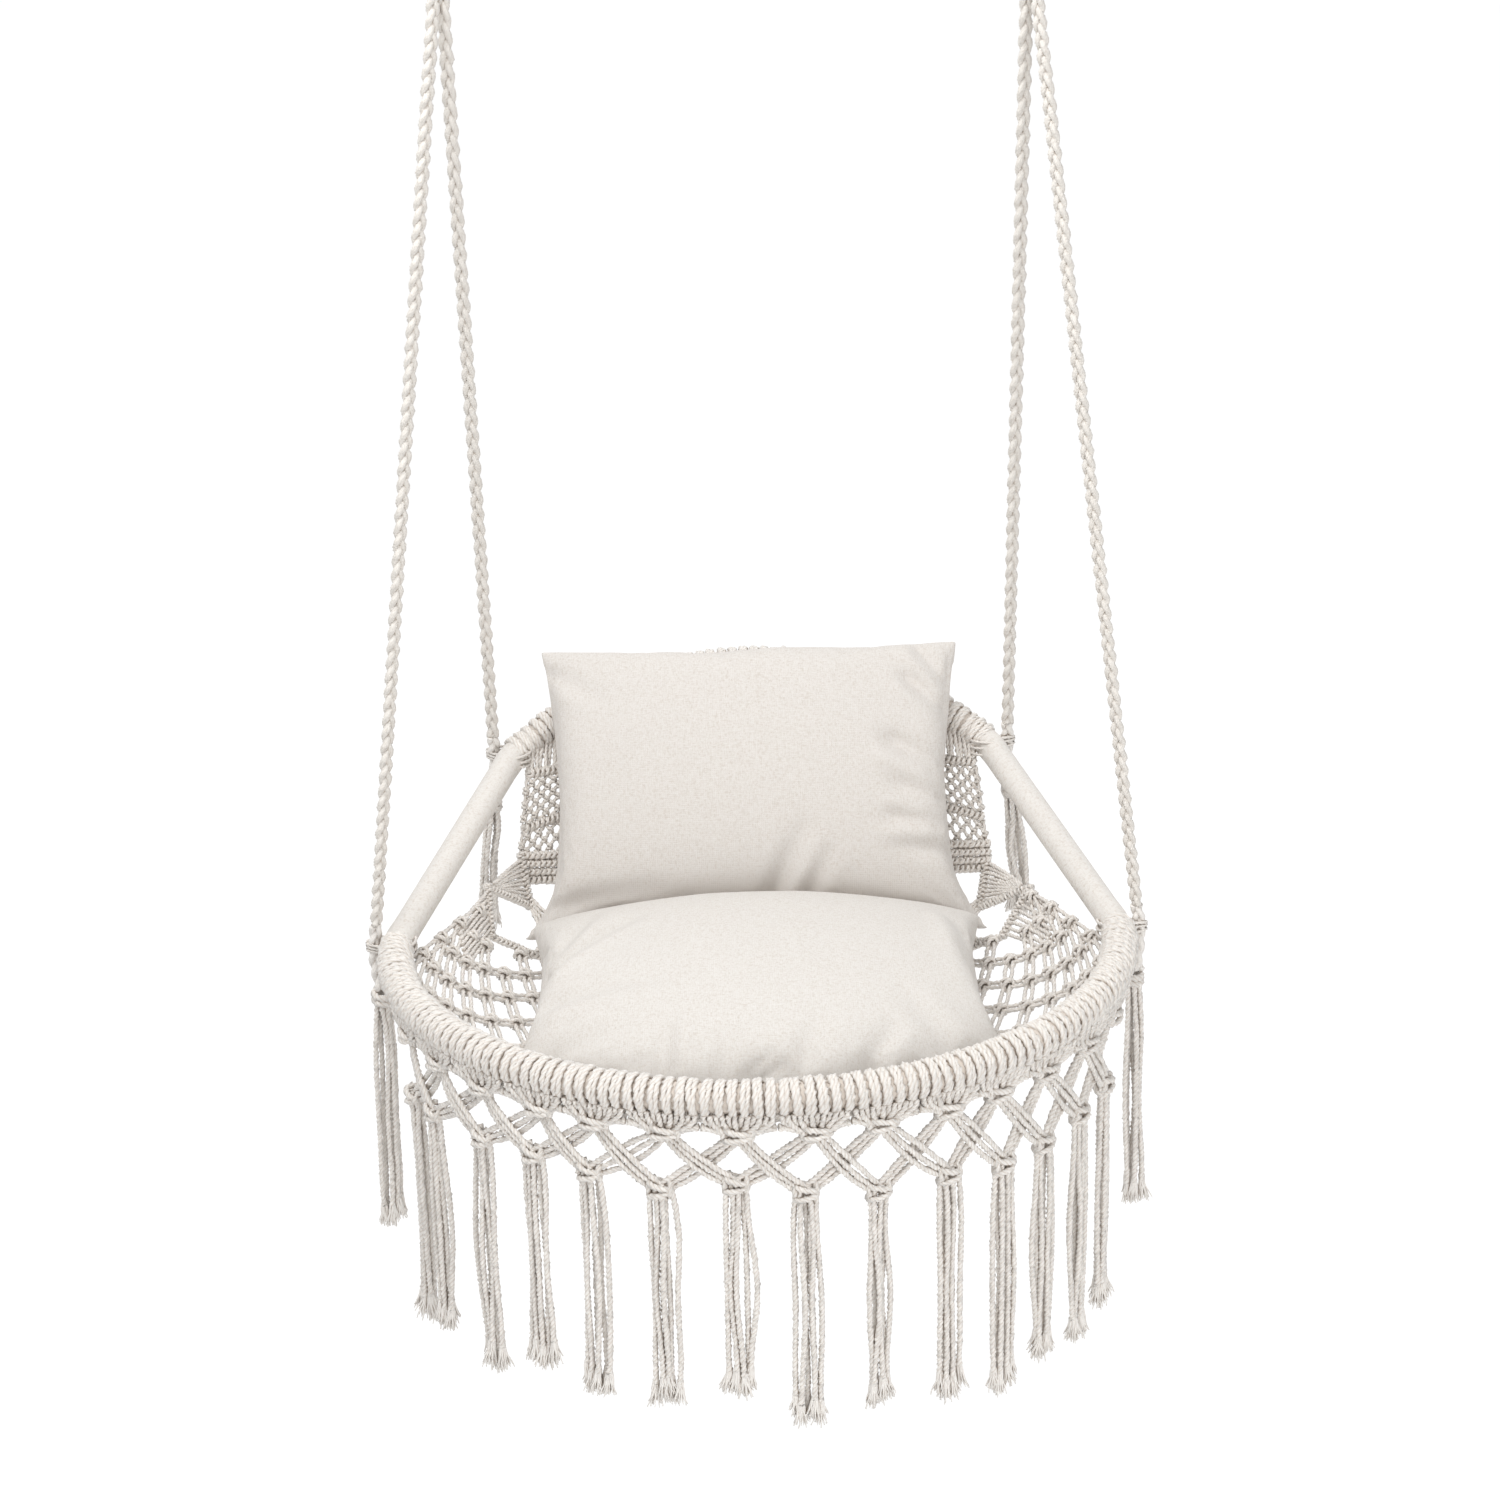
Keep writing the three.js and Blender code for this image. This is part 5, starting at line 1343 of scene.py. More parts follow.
def bar_share(u):
    """How far down the back net its upper bar runs: it rises to the corners at both ends."""
    return BAR_SHARE - BAR_RISE_SHARE * abs(2 * u - 1) ** 5


def back_part(begin, finish):
    """The part of the back net between two shares of the way down. The first of them may differ with u."""

    def point(u, v):
        top, foot = back_line(u)
        high = begin(u) if callable(begin) else begin
        return top + (foot - top) * (high + (finish - high) * v)

    return point


class Weave:
    """The local ways of a net's surface at a spot: across, down and out of it."""

    def __init__(self, surface, u, v):
        step = 1e-3
        self.at = surface(u, v)
        self.down = unit(surface(u, min(1, v + step)) - surface(u, max(0, v - step)))
        across = surface(min(1, u + step), v) - surface(max(0, u - step), v)
        self.out = unit(np.cross(across, self.down))
        self.across = unit(np.cross(self.down, self.out))

    def place(self, x, z, y):
        return self.at + self.across * x - self.down * z + self.out * y


def knotted_net(skein, surface, columns, rows, size, knot, skip=None, plain=False):
    """Cords that part and meet in knots, row by row: in pairs, or single ones where the net is plain."""
    spots = {}

    def spot(i, j):
        if (i, j) not in spots:
            spots[i, j] = Weave(surface, i / columns, j / rows)
        return spots[i, j]

    def pair(a, b, bow):
        run = b.at - a.at
        out = unit(a.out + b.out)
        side = np.cross(unit(run), out)
        for s in (0,) if plain else (-1, 1):
            apart = side * s * PAIR_GAP
            route = [a.at + apart * 0.8, a.at + run * 0.25 + apart * 1.25 + out * bow,
                     a.at + run * 0.5 + apart * 1.35 + out * bow * 1.3,
                     a.at + run * 0.75 + apart * 1.25 + out * bow, b.at + apart * 0.8]
            skein.cord(route, size, out, step=3.6, lay=22)

    for j in range(rows + 1):
        for i in range(columns + 1):
            if (i + j) % 2 or (skip and skip(i, j)):
                continue
            here = spot(i, j)
            if 0 < j < rows:
                square_knot(skein, here.place, knot, size, plain)
            if j < rows:
                for step in (-1, 1):
                    if 0 <= i + step <= columns and not (skip and skip(i + step, j + 1)):
                        pair(here, spot(i + step, j + 1), skein.chance.uniform(-1, 1))
                if i in (0, columns) and j + 2 <= rows and not (skip and skip(i, j + 2)):
                    pair(here, spot(i, j + 2), 0.5)


def hitched_bar(skein, line, radius, size, pitch):
    """A core cord covered close with half hitches."""
    line = np.asarray(line, float)
    run = distances(line)
    skein.tube(curve(line, 4), radius - size * 0.75, Z_AXIS, 16)

    def point(at):
        return np.array([np.interp(at, run, line[:, i]) for i in range(3)])

    count = int(run[-1] / pitch)
    slant = pitch * 0.55
    for k in range(count):
        at = (k + 0.5) * run[-1] / count
        here = point(at)
        way = unit(point(min(run[-1], at + 2)) - point(max(0, at - 2)))
        across = unit(Z_AXIS - way * (Z_AXIS @ way))
        out = np.cross(way, across)
        route = [here + (across * math.cos(a) + out * math.sin(a)) * (radius - size / 2)
                 + way * slant * math.sin(a + 0.5) for a in np.linspace(0, 2 * math.pi, 13)]
        skein.cord(route, size, way, step=3.0, lay=20)


def rear_leaf(skein, corners, surface, size):
    """Close fans of cord between hitched ribs, at a rear corner of the seat net."""
    top, tip, foot, low = (np.array(place, float) for place in corners)
    inner = surface(0.19, 0.77)

    def between(a, b, share, rise=0.0):
        return a + (b - a) * share + Z_AXIS * rise

    def fan(start_a, start_b, end_a, end_b, count, rise):
        for k in range(count):
            share = (k + 0.5) / count
            start, finish = between(start_a, start_b, share), between(end_a, end_b, share)
            middle = between(start, finish, 0.5, rise + skein.chance.uniform(-0.6, 0.6))
            skein.cord([start, middle, finish], size * 0.9, Z_AXIS, step=3, lay=LEAF_LAY)

    fan(top, foot, between(tip, top, 0.16), between(tip, foot, 0.26), 10, 1)
    fan(tip, low, surface(0.0, 0.40), surface(0.075, 0.42), 8, 1)
    fan(foot, between(foot, top, 0.25), inner, surface(0.24, 0.88), 4, -1)
    ribs = ((top, foot, 2.0, 5.8), (tip, foot, 1.5, 5.4), (tip, low, 1.5, 5.6), (low, inner, 0.0, 5.2))
    for start, finish, rise, radius in ribs:
        rib = curve([between(start, finish, share, rise) for share in (-0.06, 0.35, 0.7, 1.06)], 3)
        hitched_bar(skein, rib, radius, size * 0.9, size * 0.86)


class HAMMOCK_OT_seat_net(bpy.types.Operator):
    """The knotted net slung under the seat cushion"""

    bl_idname = "hammock.seat_net"
    bl_label = "Seat net"

    def execute(self, context):
        skein = Skein(SEEDS["seat_net"])
        columns, rows = SEAT_NET_COLUMNS, SEAT_NET_ROWS
        edge = SEAT_NET_EDGE_SHARE
        size = cords().net_diameter

        def surface(u, v):
            return seat_point(edge + (1 - 2 * edge) * u, v * SEAT_NET_REACH_SHARE)

        def in_leaf(i, j):
            column = min(i, columns - i)
            return (j >= rows * 0.62 and column <= 3) or (j >= rows * 0.85 and column <= 5)

        knotted_net(skein, surface, columns, rows, size * 0.94, SEAT_NET_KNOT, skip=in_leaf)
        for s, corners in enumerate(LEAF_CORNERS):
            rear_leaf(skein, corners, lambda u, v, s=s: surface(abs(s - u), v), size)
        made = skein.piece("seat_knotted_net", finish_named("cotton_cord"))
        stand_for(made, "net_cord", "seat_net")
        return {"FINISHED"}


class HAMMOCK_OT_back_net(bpy.types.Operator):
    """The knotted net behind the back cushion, and the two hitched bars across it"""

    bl_idname = "hammock.back_net"
    bl_label = "Back net"

    def execute(self, context):
        size = cords().net_diameter
        whole = back_part(0.0, 1.0)

        def bar(share, count):
            return [whole(u, share(u)) for u in np.linspace(0, 1, count)]

        upper = Skein(SEEDS["upper_cords"])
        for k in range(BACK_CORDS + 1):
            u = k / BACK_CORDS
            over = min(1, max(0, (k + 0.3 * (-1) ** k) / BACK_CORDS))
            start, end = Weave(whole, u, 0.0), Weave(whole, over, bar_share(over))
            lift = upper.chance.uniform(-1.4, 1.4)
            route = [start.place(0, 10, 0), start.at, (start.at + end.at) / 2 + start.out * lift, end.at]
            upper.cord(route, size * 1.02, X_AXIS, step=3.2, lay=18)
        made = upper.piece("back_upper_cords", finish_named("cotton_cord"))
        stand_for(made, "net_cord", "back_net_upper")

        lower = Skein(SEEDS["back_net"])
        net = size * BACK_NET_CORD_SHARE
        knotted_net(lower, back_part(lambda u: bar_share(u) + 0.03, UPPER_FIELD_SHARE), BACK_NET_COLUMNS,
                    UPPER_FIELD_ROWS, net, BACK_NET_KNOT, plain=True)
        hitched_bar(lower, curve(bar(lambda u: SECOND_BAR_SHARE, 24), 4), BAR_RADIUS, size, BAR_PITCH)
        knotted_net(lower, back_part(*LOWER_FIELD_SHARE), BACK_NET_COLUMNS,
                    LOWER_FIELD_ROWS, net, BACK_NET_KNOT, plain=True)
        made = lower.piece("back_knotted_net", finish_named("cotton_cord"))
        stand_for(made, "net_cord", "back_net_lower")

        bars = (("back_bar", "back_hitch_bar", bar_share, ()),
                ("crease_bar", "crease_hitch_bar", lambda u: 1.0, CREASE_ROLL))
        for name, node, share, roll in bars:
            skein = Skein(SEEDS["bars"])
            line = bar(share, 32)
            hitched_bar(skein, curve(line, 4), BAR_RADIUS, size, BAR_PITCH)
            for rise, back in roll:
                turn = [p + (0, back, rise) for p in line]
                hitched_bar(skein, curve(turn, 4), CREASE_ROLL_RADIUS, size, BAR_PITCH)
            made = skein.piece(name, finish_named("cotton_cord"))
            stand_for(made, "net_cord", node)
        return {"FINISHED"}


# The cushions. The back one leans from its base in the crease; its widths are at its foot and at its top
LEAN = math.radians(29)
LEAN_UP = np.array([0, math.sin(LEAN), math.cos(LEAN)])
LEAN_BACK = np.array([0, math.cos(LEAN), -math.sin(LEAN)])
BACK_BASE = np.array([0, 128.0, -43.6])
BACK_HEIGHT = 316
BACK_WIDTHS = (476, 462)
BACK_CENTRE_X = 0.5
BACK_CROWN, BACK_REAR = 65, 60
BACK_EASE_SHARE = 0.6
SEAT_WIDTH, SEAT_DEPTH = 478, 438
SEAT_CENTRE_Y, SEAT_SEAM_Z = -121, -28
SEAT_CROWN, SEAT_BELLY = 78, 66
SEAT_LIMIT = 352.5
NET_TOP = 9
RIM_FRONT = 18.5
BAR_FRONT = 7.5
SEAM_DEPTH = 20

PILLOW_STEPS = 40
PILLOW_POWER = 0.45
# How much narrower a pillow is at the middle of its sides and of its ends, and how far its near and its far
# corners reach out
SEAT_WAIST_SHARES, SEAT_EARS = (0.015, 0.02), (5, 5)
BACK_WAIST_SHARES, BACK_EARS = (0.04, -0.045), (22, 4)

# The first cloth is even squares of this size, in metres
CLOTH_GRAIN = 0.005
CLOTH = {"quality": 5, "mass": 0.2, "tension_stiffness": 25, "compression_stiffness": 25,
         "shear_stiffness": 8, "bending_stiffness": 0.3, "use_pressure": True}

# Soft folds, in the plane of each cushion: from, to, how wide and how deep. Seat: across and forward-back.
# Back: across and up the lean
SEAT_FOLDS = (((-222, -118), (-140, -38), 13, 8), ((-206, -186), (-112, -186), 14, 5),
              ((-204, -60), (-176, 20), 12, 6), ((218, -20), (229, -150), 13, 6),
              ((-100, -318), (-95, -272), 11, 8), ((-42, -325), (-30, -284), 11, 6),
              ((34, -320), (56, -276), 12, 6), ((98, -320), (126, -276), 10, 9),
              ((-205, -262), (-150, -258), 14, 6), ((180, -272), (150, -225), 14, 4))
BACK_FOLDS = (((160, 194), (226, 162), 11, 7), ((224, 74), (172, 78), 10, 8), ((180, 266), (222, 228), 9, 6),
              ((192, 304), (222, 262), 8, 6), ((18, 26), (48, 88), 12, 8), ((58, 28), (76, 64), 10, 5),
              ((-228, 290), (-178, 262), 10, 5), ((-226, 22), (-120, 38), 13, 6),
              ((165, 144), (222, 128), 10, 4), ((158, 110), (224, 96), 10, 4))
FOLD_DEPTH_SHARE = 1.5
FOLD_RIDGE_SHARE = 0.45


def seat_floor(x, y):
    """Height of the seat net over points of the plan."""
    u = np.full(x.shape, 0.5)
    v = np.full(x.shape, 0.5)
    for _ in range(12):
        half = SEAT_EDGE_RADIUS + (CREASE_HALF_WIDTH - SEAT_EDGE_RADIUS) * v
        u = np.arccos(np.clip(-x / half, -1, 1)) / math.pi
        front = -SEAT_EDGE_RADIUS * np.sin(u * math.pi)
        v = np.clip((y - front) / (CREASE_DEPTH - front), 0, 1)
    sine, cosine = np.sin(u * math.pi), np.cos(u * math.pi)
    along = 1 - np.abs(2 * v - 1) ** np.where(v < 0.5, 3, 5)
    z = -SEAT_RIM_DROP + (SEAT_RIM_DROP - CREASE_DROP) * v
    z -= SEAT_SAG * np.abs(sine) ** 0.5 * along
    return z + SEAT_EDGE_RISE * np.abs(cosine) ** 6 * np.sin(v * math.pi)


def pillow(half_width, half_depth, crown, belly, waists, ears):
    """A closed pillow in its own plane: points, and quads over its top and bottom."""
    steps = PILLOW_STEPS
    share = np.sin((2 * np.arange(steps + 1) / steps - 1) * math.pi / 2)
    u, v = np.meshgrid(share, share, indexing="ij")
    corner = np.where(v < 0, ears[0], ears[1]) * (u * v) ** 6
    x = half_width(v) * u * (1 - waists[0] * (1 - v * v)) + corner * u
    y = half_depth * v * (1 - waists[1] * (1 - u * u)) + corner * v
    puff = np.maximum((1 - u * u) * (1 - v * v), 0) ** PILLOW_POWER
    top = np.stack([x, y, crown * puff], -1).reshape(-1, 3)
    low = np.stack([x, y, -belly * puff], -1).reshape(-1, 3)
    n = steps + 1
    rim = np.zeros((n, n), bool)
    rim[[0, -1]] = True
    rim[:, [0, -1]] = True
    rim = rim.ravel()
    below = np.arange(n * n)
    below[~rim] = n * n + np.arange((~rim).sum())
    points = np.concatenate([top, low[~rim]])
    i, j = np.meshgrid(np.arange(steps), np.arange(steps), indexing="ij")
    a = (i * n + j).ravel()
    quads = np.stack([a, a + n, a + n + 1, a + 1], -1)
    return points, np.concatenate([quads, below[quads][:, ::-1]])


def folds(plan, lines):
    """How far the cloth sinks at points of a cushion's plane: a groove on each line and a ridge beside it."""
    sunk = np.zeros(len(plan))
    for begin, finish, width, depth in lines:
        begin, run = np.array(begin, float), np.subtract(finish, begin)
        reach = np.linalg.norm(run)
        away = plan - begin
        along = away @ run / reach**2
        beside = (away[:, 0] * run[1] - away[:, 1] * run[0]) / reach
        past = np.maximum(0, np.maximum(-along, along - 1)) * reach
        fade = np.exp(-(past / (1.6 * width)) ** 2)
        taper = 0.35 + 0.65 * np.clip(1 - along, 0, 1)
        groove = np.exp(-(beside / width) ** 2)
        ridge = FOLD_RIDGE_SHARE * np.exp(-((beside - 1.9 * width) / width) ** 2)
        sunk += fade * taper * FOLD_DEPTH_SHARE * depth * (groove - ridge)
    return sunk


def ripple(run, seam, pitch, depth):
    """Small puckers along a seam that fade away from it. seam is the distance of each point from it."""
    run = run / pitch
    wave = np.sin(run + 1.3 * np.sin(0.37 * run)) + 0.6 * np.sin(2.3 * run + 1.1)
    return depth * wave * np.exp(-(seam / 16) ** 2)


def places(mesh):
    """The places of a mesh's points, in metres."""
    found = np.empty(len(mesh.vertices) * 3)
    mesh.vertices.foreach_get("co", found)
    return found.reshape(-1, 3)


def filled_places(made, settings):
    """Where a cover's points go under the pressure of its filling, none further than the greatest swell."""
    before = places(made.data)
    cloth = made.modifiers.new("filling", "CLOTH")
    for name, value in CLOTH.items():
        setattr(cloth.settings, name, value)
    cloth.settings.uniform_pressure_force = settings.pressure
    cloth.settings.effector_weights.gravity = 0
    cloth.collision_settings.use_collision = False
    cloth.point_cache.frame_start = 1
    cloth.point_cache.frame_end = settings.steps
    for step in range(1, settings.steps + 1):
        bpy.context.scene.frame_set(step)
    after = places(made.evaluated_get(bpy.context.evaluated_depsgraph_get()).to_mesh())
    made.modifiers.remove(cloth)
    bpy.context.scene.frame_set(1)
    move = after - before
    far = np.linalg.norm(move, axis=1)
    return before + move * np.minimum(1, settings.swell * MM / np.maximum(far, 1e-9))[:, None]


def cover(name, points, quads, material, hold):
    """A cushion's cover: even cloth, filled by cloth pressure, held where it lies, then made finer."""
    mesh = bpy.data.meshes.new(name)
    mesh.from_pydata(((points + SWING) * MM).tolist(), [], quads.tolist())
    mesh.update()
    made = bpy.data.objects.new(name, mesh)
    bpy.context.scene.collection.objects.link(made)
    for other in bpy.context.selected_objects:
        other.select_set(False)
    bpy.context.view_layer.objects.active = made
    made.select_set(True)
    remesh = made.modifiers.new("even_cloth", "REMESH")
    remesh.mode = "VOXEL"
    remesh.voxel_size = CLOTH_GRAIN
    bpy.ops.object.modifier_apply(modifier=remesh.name)
    filled = places(made.data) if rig.quick() else filled_places(made, bpy.context.scene.hammock_cushions)
    held = (hold(filled / MM - SWING) + SWING) * MM
    made.data.vertices.foreach_set("co", held.ravel())
    smooth = made.modifiers.new("fine_cloth", "SUBSURF")
    smooth.levels = 1
    smooth.render_levels = 1
    bpy.ops.object.modifier_apply(modifier=smooth.name)
    made.data.shade_smooth()
    made.data.materials.clear()
    made.data.materials.append(material)
    return made


def hold_seat(points):
    """Lays the folds of the seat cushion, and keeps it above its net and inside the rim."""
    p = points.copy()
    top = np.clip((p[:, 2] - SEAT_SEAM_Z) / SEAM_DEPTH, 0, 1)
    side = np.abs(SEAT_WIDTH / 2 - np.abs(p[:, 0]))
    front = np.hypot(p[:, 0], p[:, 1]) - SEAT_LIMIT
    p[:, 2] -= top * folds(p[:, :2], SEAT_FOLDS)
    p[:, 2] += top * ripple(p[:, 1], side, 8.5, 1.6)
    p[:, 2] += top * np.where(p[:, 1] < -200, ripple(p[:, 0], front, 9.5, 1.6), 0)
    limit = -np.sqrt(np.maximum(SEAT_LIMIT**2 - p[:, 0] ** 2, 0))
    p[:, 1] = np.maximum(p[:, 1], limit)
    floor = seat_floor(p[:, 0], p[:, 1]) + NET_TOP
    p[:, 2] = np.maximum(p[:, 2], floor)
    return p


def back_width(share):
    """The width of the back cushion at a share of its height."""
    return BACK_WIDTHS[0] + (BACK_WIDTHS[1] - BACK_WIDTHS[0]) * share


def hold_back(points):
    """Lays the folds of the back cushion, and keeps it in front of the back arc and the crease."""
    p = points.copy()
    offset = p - BACK_BASE
    height, depth = offset @ LEAN_UP, offset @ LEAN_BACK
    fore = np.clip(-depth / SEAM_DEPTH + 0.3, 0, 1)
    side = np.abs(back_width(height / BACK_HEIGHT) / 2 - np.abs(p[:, 0]))
    end = np.minimum(height, BACK_HEIGHT - height)
    sunk = folds(np.stack([p[:, 0], height], -1), BACK_FOLDS)
    sunk += ripple(height, side, 8.0, 1.8) + ripple(p[:, 0], end, 10.0, 1.2)
    depth = depth + fore * sunk
    p += LEAN_BACK * (fore * sunk)[:, None]
    angle = np.arcsin(np.clip(p[:, 0] / RIM_RADIUS, -0.7, 0.7))[:, None]
    rim = BACK_CENTRE + (np.sin(angle) * X_AXIS + np.cos(angle) * BACK_UP) * RIM_RADIUS - BACK_BASE
    rim_height, rim_depth = rim @ LEAN_UP, rim @ LEAN_BACK - RIM_FRONT
    bar = np.array([0, CREASE_DEPTH, -CREASE_DROP]) - BACK_BASE
    bar_height, bar_depth = bar @ LEAN_UP, bar @ LEAN_BACK - BAR_FRONT
    share = np.clip((height - bar_height) / (rim_height - bar_height), 0, 1)
    room = bar_depth + (rim_depth - bar_depth) * share
    return p + LEAN_BACK * np.minimum(0, room - depth)[:, None]


class HAMMOCK_OT_cushions(bpy.types.Operator):
    """The seat cushion and the back cushion, filled by cloth simulation"""

    bl_idname = "hammock.cushions"
    bl_label = "Cushions"

    def execute(self, context):
        settings = context.scene.hammock_cushions
        slack, ease = (0, 0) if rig.quick() else (settings.slack, settings.ease)
        points, quads = pillow(lambda v: SEAT_WIDTH / 2 + ease, SEAT_DEPTH / 2, SEAT_CROWN - slack,
                               SEAT_BELLY - slack, SEAT_WAIST_SHARES, SEAT_EARS)
        room = np.sqrt(np.maximum(SEAT_LIMIT**2 - points[:, 0] ** 2, 0)) + SEAT_CENTRE_Y
        squeeze = np.where(points[:, 1] < 0, np.minimum(1, room / (SEAT_DEPTH / 2 + SEAT_EARS[0])), 1)
        points[:, 1] *= squeeze
        placed = points + (0, SEAT_CENTRE_Y, SEAT_SEAM_Z)
        seat = cover("seat_pillow", placed, quads, finish_named("seat_linen"), hold_seat)
        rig.ride(seat, "seat_cushion")
        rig.replaces(seat, "seat_cushion_cover", "seat_cushion_zip", "seat_cushion_wadding")
        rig.slot(seat, "seat_cushion_linen")
        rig.padded(seat, fill=0.7)

        def half(v):
            return back_width((v + 1) / 2) / 2 + BACK_EASE_SHARE * ease

        points, quads = pillow(half, BACK_HEIGHT / 2, BACK_CROWN - slack, BACK_REAR - slack,
                               BACK_WAIST_SHARES, BACK_EARS)
        height = points[:, 1] + BACK_HEIGHT / 2
        placed = (BACK_BASE + X_AXIS * (points[:, :1] + BACK_CENTRE_X) + LEAN_UP * height[:, None]
                  - LEAN_BACK * points[:, 2:])
        back = cover("back_pillow", placed, quads[:, ::-1], finish_named("back_linen"), hold_back)
        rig.ride(back, "back_cushion")
        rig.replaces(back, "back_cushion_cover", "back_cushion_zip", "back_cushion_wadding")
        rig.slot(back, "back_cushion_linen")
        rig.padded(back, fill=0.7)
        return {"FINISHED"}


class HAMMOCK_OT_frame_finish(bpy.types.Operator):
    """Steel for the tubes and elbows that the cord hides"""

    bl_idname = "hammock.frame_finish"
    bl_label = "Frame finish"

    def execute(self, context):
        for node in frame["nodes"].values():
            if node.hide_render:
                continue
            for slot in node.material_slots:
                slot.material = finish_named("brushed_steel")
        return {"FINISHED"}


# Camera, floor and light. The camera's place and target are in millimetres, the rest in metres
CAMERA_PLACE = (-24.556, -2999.458, 185.069)
CAMERA_TARGET = (-2.86, -6.0, -922.79)
CAMERA_ROLL = math.radians(-1.37)
SENSOR_WIDTH = 36
CLIP_END = 200

FLOOR_HALF = 40
FLOOR_GREY = (0.9, 0.9, 0.9, 1)
SHADOW_GREY = (0.3, 0.3, 0.3, 1)
FLOOR_GLOW = 0.82
WARM_WHITE = (1.0, 0.995, 0.985)
LAMP_TARGET = (0, 0, -1.1)
# Each lamp's name, place, size and power
LAMPS = (("key", (-0.7, -0.8, 1.4), 1.8, 41), ("fill", (1.3, -2.9, -0.9), 2.4, 28),
         ("rear", (0.3, 2.6, 1.2), 2.4, 20))


class HAMMOCK_OT_camera(bpy.types.Operator):
    """The camera at the photograph's angle"""

    bl_idname = "hammock.camera"
    bl_label = "Camera"

    def execute(self, context):
        data = bpy.data.cameras.new("view")
        data.lens = context.scene.hammock_stage.lens
        data.sensor_width = SENSOR_WIDTH
        data.sensor_fit = "HORIZONTAL"
        data.clip_end = CLIP_END
        camera = bpy.data.objects.new("view", data)
        context.scene.collection.objects.link(camera)
        place = Vector(CAMERA_PLACE) * MM
        ahead = (Vector(CAMERA_TARGET) * MM - place).normalized()
        right = ahead.cross(Vector((0, 0, 1))).normalized()
        up = right.cross(ahead)
        across = right * math.cos(CAMERA_ROLL) + up * math.sin(CAMERA_ROLL)
        upward = up * math.cos(CAMERA_ROLL) - right * math.sin(CAMERA_ROLL)
        turn = Matrix((across, upward, -ahead)).transposed()
        camera.matrix_world = Matrix.Translation(place) @ turn.to_4x4()
        context.scene.camera = camera
        return {"FINISHED"}


class HAMMOCK_OT_stage(bpy.types.Operator):
    """A pale floor and plain soft light"""

    bl_idname = "hammock.stage"
    bl_label = "Floor and light"

    def execute(self, context):
        settings = context.scene.hammock_stage
        mesh = bpy.data.meshes.new("floor")
        half = FLOOR_HALF
        mesh.from_pydata([(-half, -half, 0), (half, -half, 0), (half, half, 0), (-half, half, 0)], [],
                         [(0, 1, 2, 3)])
        floor = bpy.data.objects.new("floor", mesh)
        floor.location.z = -settings.floor_drop
        context.scene.collection.objects.link(floor)
        f = new_finish("pale_floor")
        plain = f.node("ShaderNodeBsdfDiffuse", None, Color=FLOOR_GREY).outputs[0]
        soft = f.node("ShaderNodeBsdfDiffuse", None, Color=SHADOW_GREY).outputs[0]
        glow = f.node("ShaderNodeEmission", None, Color=(1, 1, 1, 1), Strength=FLOOR_GLOW).outputs[0]
        shown = f.node("ShaderNodeAddShader", None, i0=soft, i1=glow).outputs[0]
        floor.data.materials.append(f.seen_or_lit(plain, shown))
        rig.stage(floor)
        world = bpy.data.worlds.new("soft_sky")
        context.scene.world = world
        f = Finish(world, "ShaderNodeOutputWorld")
        white = f.node("ShaderNodeBackground").outputs[0]
        sky = f.node("ShaderNodeBackground", None, Color=colour(WARM_WHITE), Strength=settings.sky).outputs[0]
        f.seen_or_lit(sky, white)
        centre = Vector(LAMP_TARGET)
        for name, place, size, power in LAMPS:
            data = bpy.data.lights.new(name, "AREA")
            data.shape = "SQUARE"
            data.size = size
            data.energy = power
            data.color = WARM_WHITE
            lamp = bpy.data.objects.new(name, data)
            lamp.location = place
            lamp.rotation_euler = (centre - Vector(place)).to_track_quat("-Z", "Y").to_euler()
            context.scene.collection.objects.link(lamp)
        context.scene.view_settings.view_transform = "Standard"
        return {"FINISHED"}


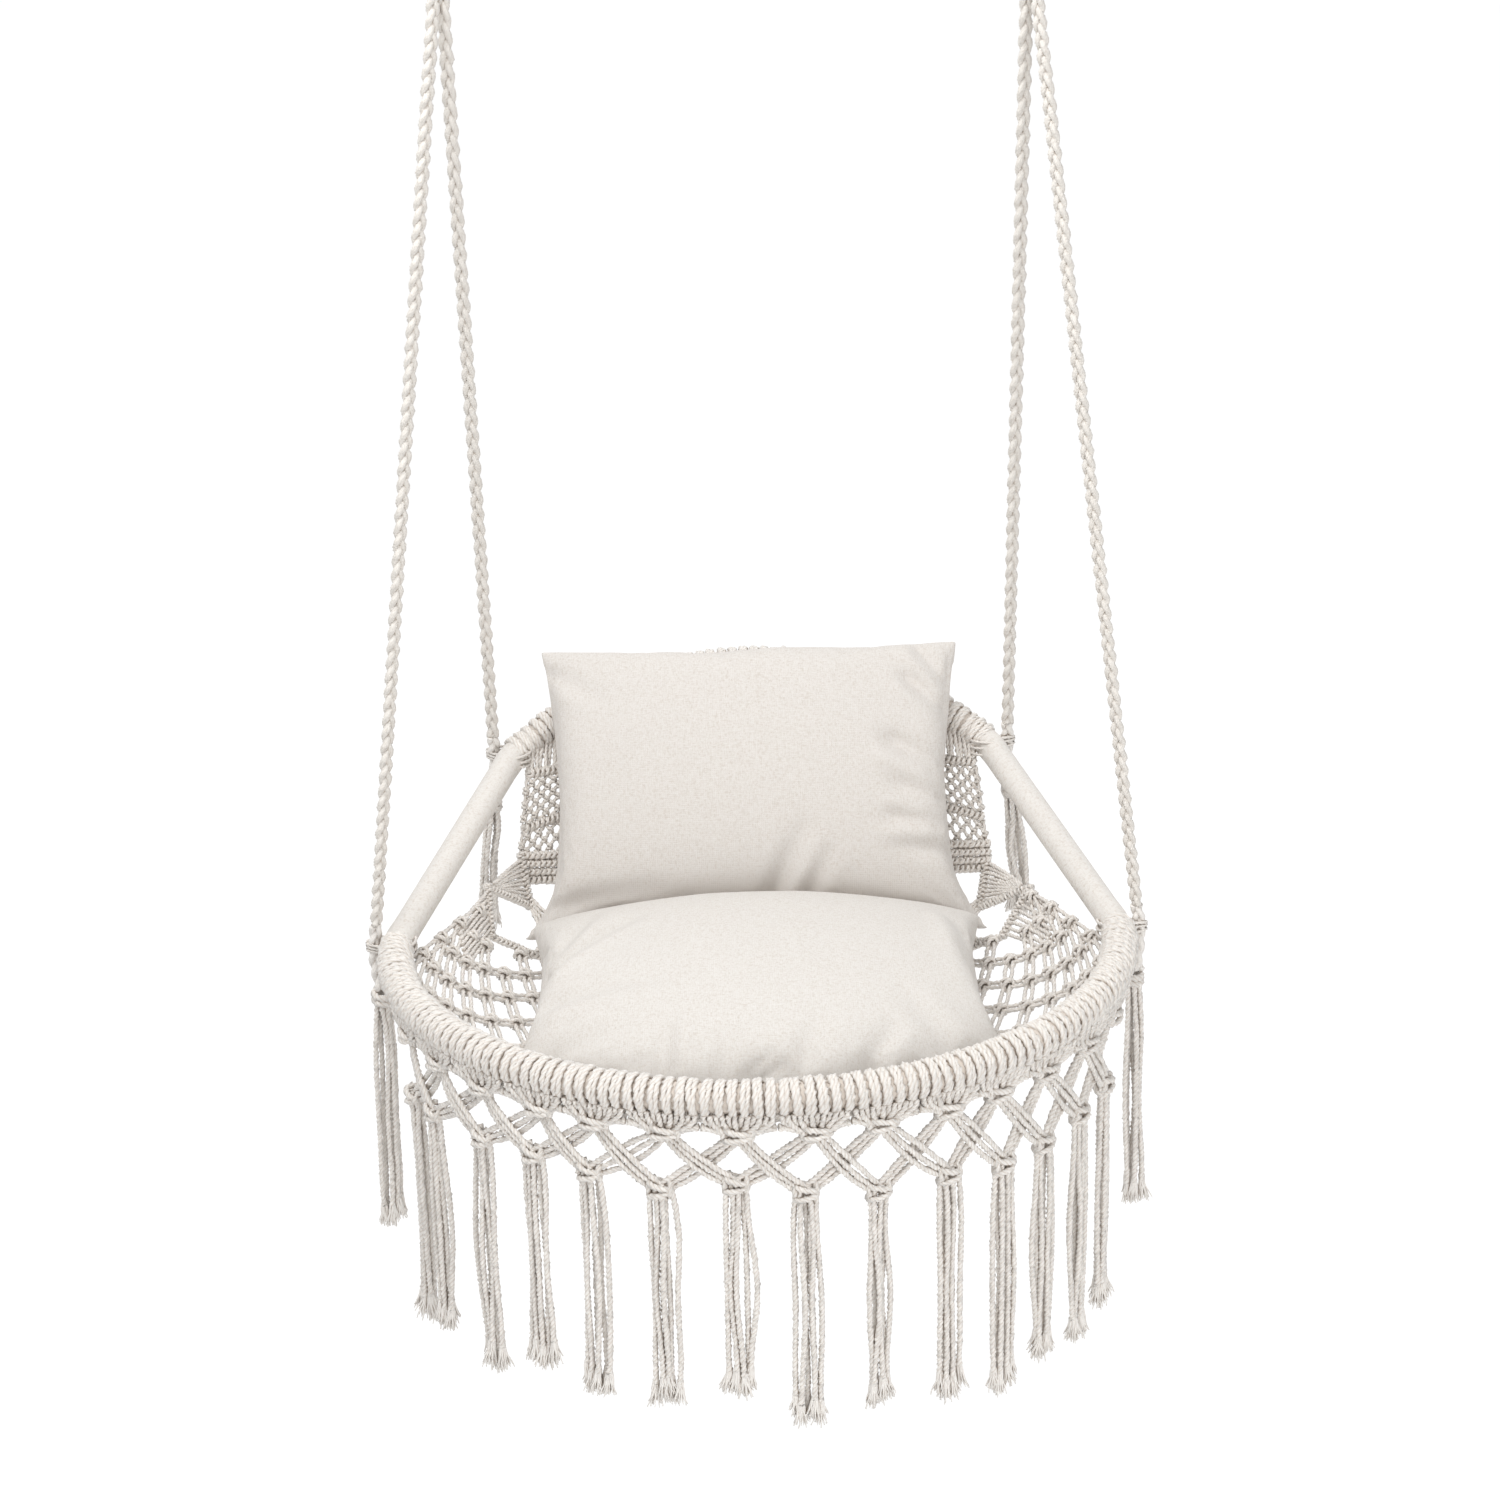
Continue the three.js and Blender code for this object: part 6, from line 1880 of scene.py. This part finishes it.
class HAMMOCK_PT_pieces(bpy.types.Panel):
    """Lists the pieces of the hammock chair"""

    bl_idname = "HAMMOCK_PT_pieces"
    bl_label = "Hammock Chair"
    bl_space_type = "VIEW_3D"
    bl_region_type = "UI"
    bl_category = "Hammock"

    def draw(self, context):
        for operator in PIECES:
            self.layout.operator(operator.bl_idname)
        for group in SETTINGS:
            settings = getattr(context.scene, group)
            for name in settings.__annotations__:
                self.layout.prop(settings, name)


SETTINGS = ("hammock_cords", "hammock_cushions", "hammock_finishes", "hammock_stage")
PIECES = (HAMMOCK_OT_camera, HAMMOCK_OT_ropes, HAMMOCK_OT_tails, HAMMOCK_OT_eyes, HAMMOCK_OT_rim,
          HAMMOCK_OT_side_yarn, HAMMOCK_OT_bindings, HAMMOCK_OT_fringe, HAMMOCK_OT_tassels,
          HAMMOCK_OT_seat_net, HAMMOCK_OT_back_net, HAMMOCK_OT_cushions, HAMMOCK_OT_frame_finish,
          HAMMOCK_OT_stage)
CLASSES = (CordSizes, CushionSizes, Finishes, StageSettings, *PIECES, HAMMOCK_PT_pieces)


def register():
    for each in CLASSES:
        bpy.utils.register_class(each)
    bpy.types.Scene.hammock_cords = bpy.props.PointerProperty(type=CordSizes)
    bpy.types.Scene.hammock_cushions = bpy.props.PointerProperty(type=CushionSizes)
    bpy.types.Scene.hammock_finishes = bpy.props.PointerProperty(type=Finishes)
    bpy.types.Scene.hammock_stage = bpy.props.PointerProperty(type=StageSettings)


def unregister():
    for name in SETTINGS:
        delattr(bpy.types.Scene, name)
    for each in reversed(CLASSES):
        bpy.utils.unregister_class(each)


def main():
    register()
    bpy.ops.hammock.camera()
    bpy.ops.hammock.ropes()
    bpy.ops.hammock.tails()
    bpy.ops.hammock.eyes()
    bpy.ops.hammock.rim()
    bpy.ops.hammock.side_yarn()
    bpy.ops.hammock.bindings()
    bpy.ops.hammock.fringe()
    bpy.ops.hammock.tassels()
    bpy.ops.hammock.seat_net()
    bpy.ops.hammock.back_net()
    bpy.ops.hammock.cushions()
    bpy.ops.hammock.frame_finish()
    bpy.ops.hammock.stage()
    sizes = {"cad": [list(map(float, corner)) for corner in CAD_BOX],
             "visual": [list(map(float, corner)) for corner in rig.bounds()]}
    with open("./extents.json", "w") as file:
        json.dump(sizes, file)


if __name__ == "__main__":
    main()
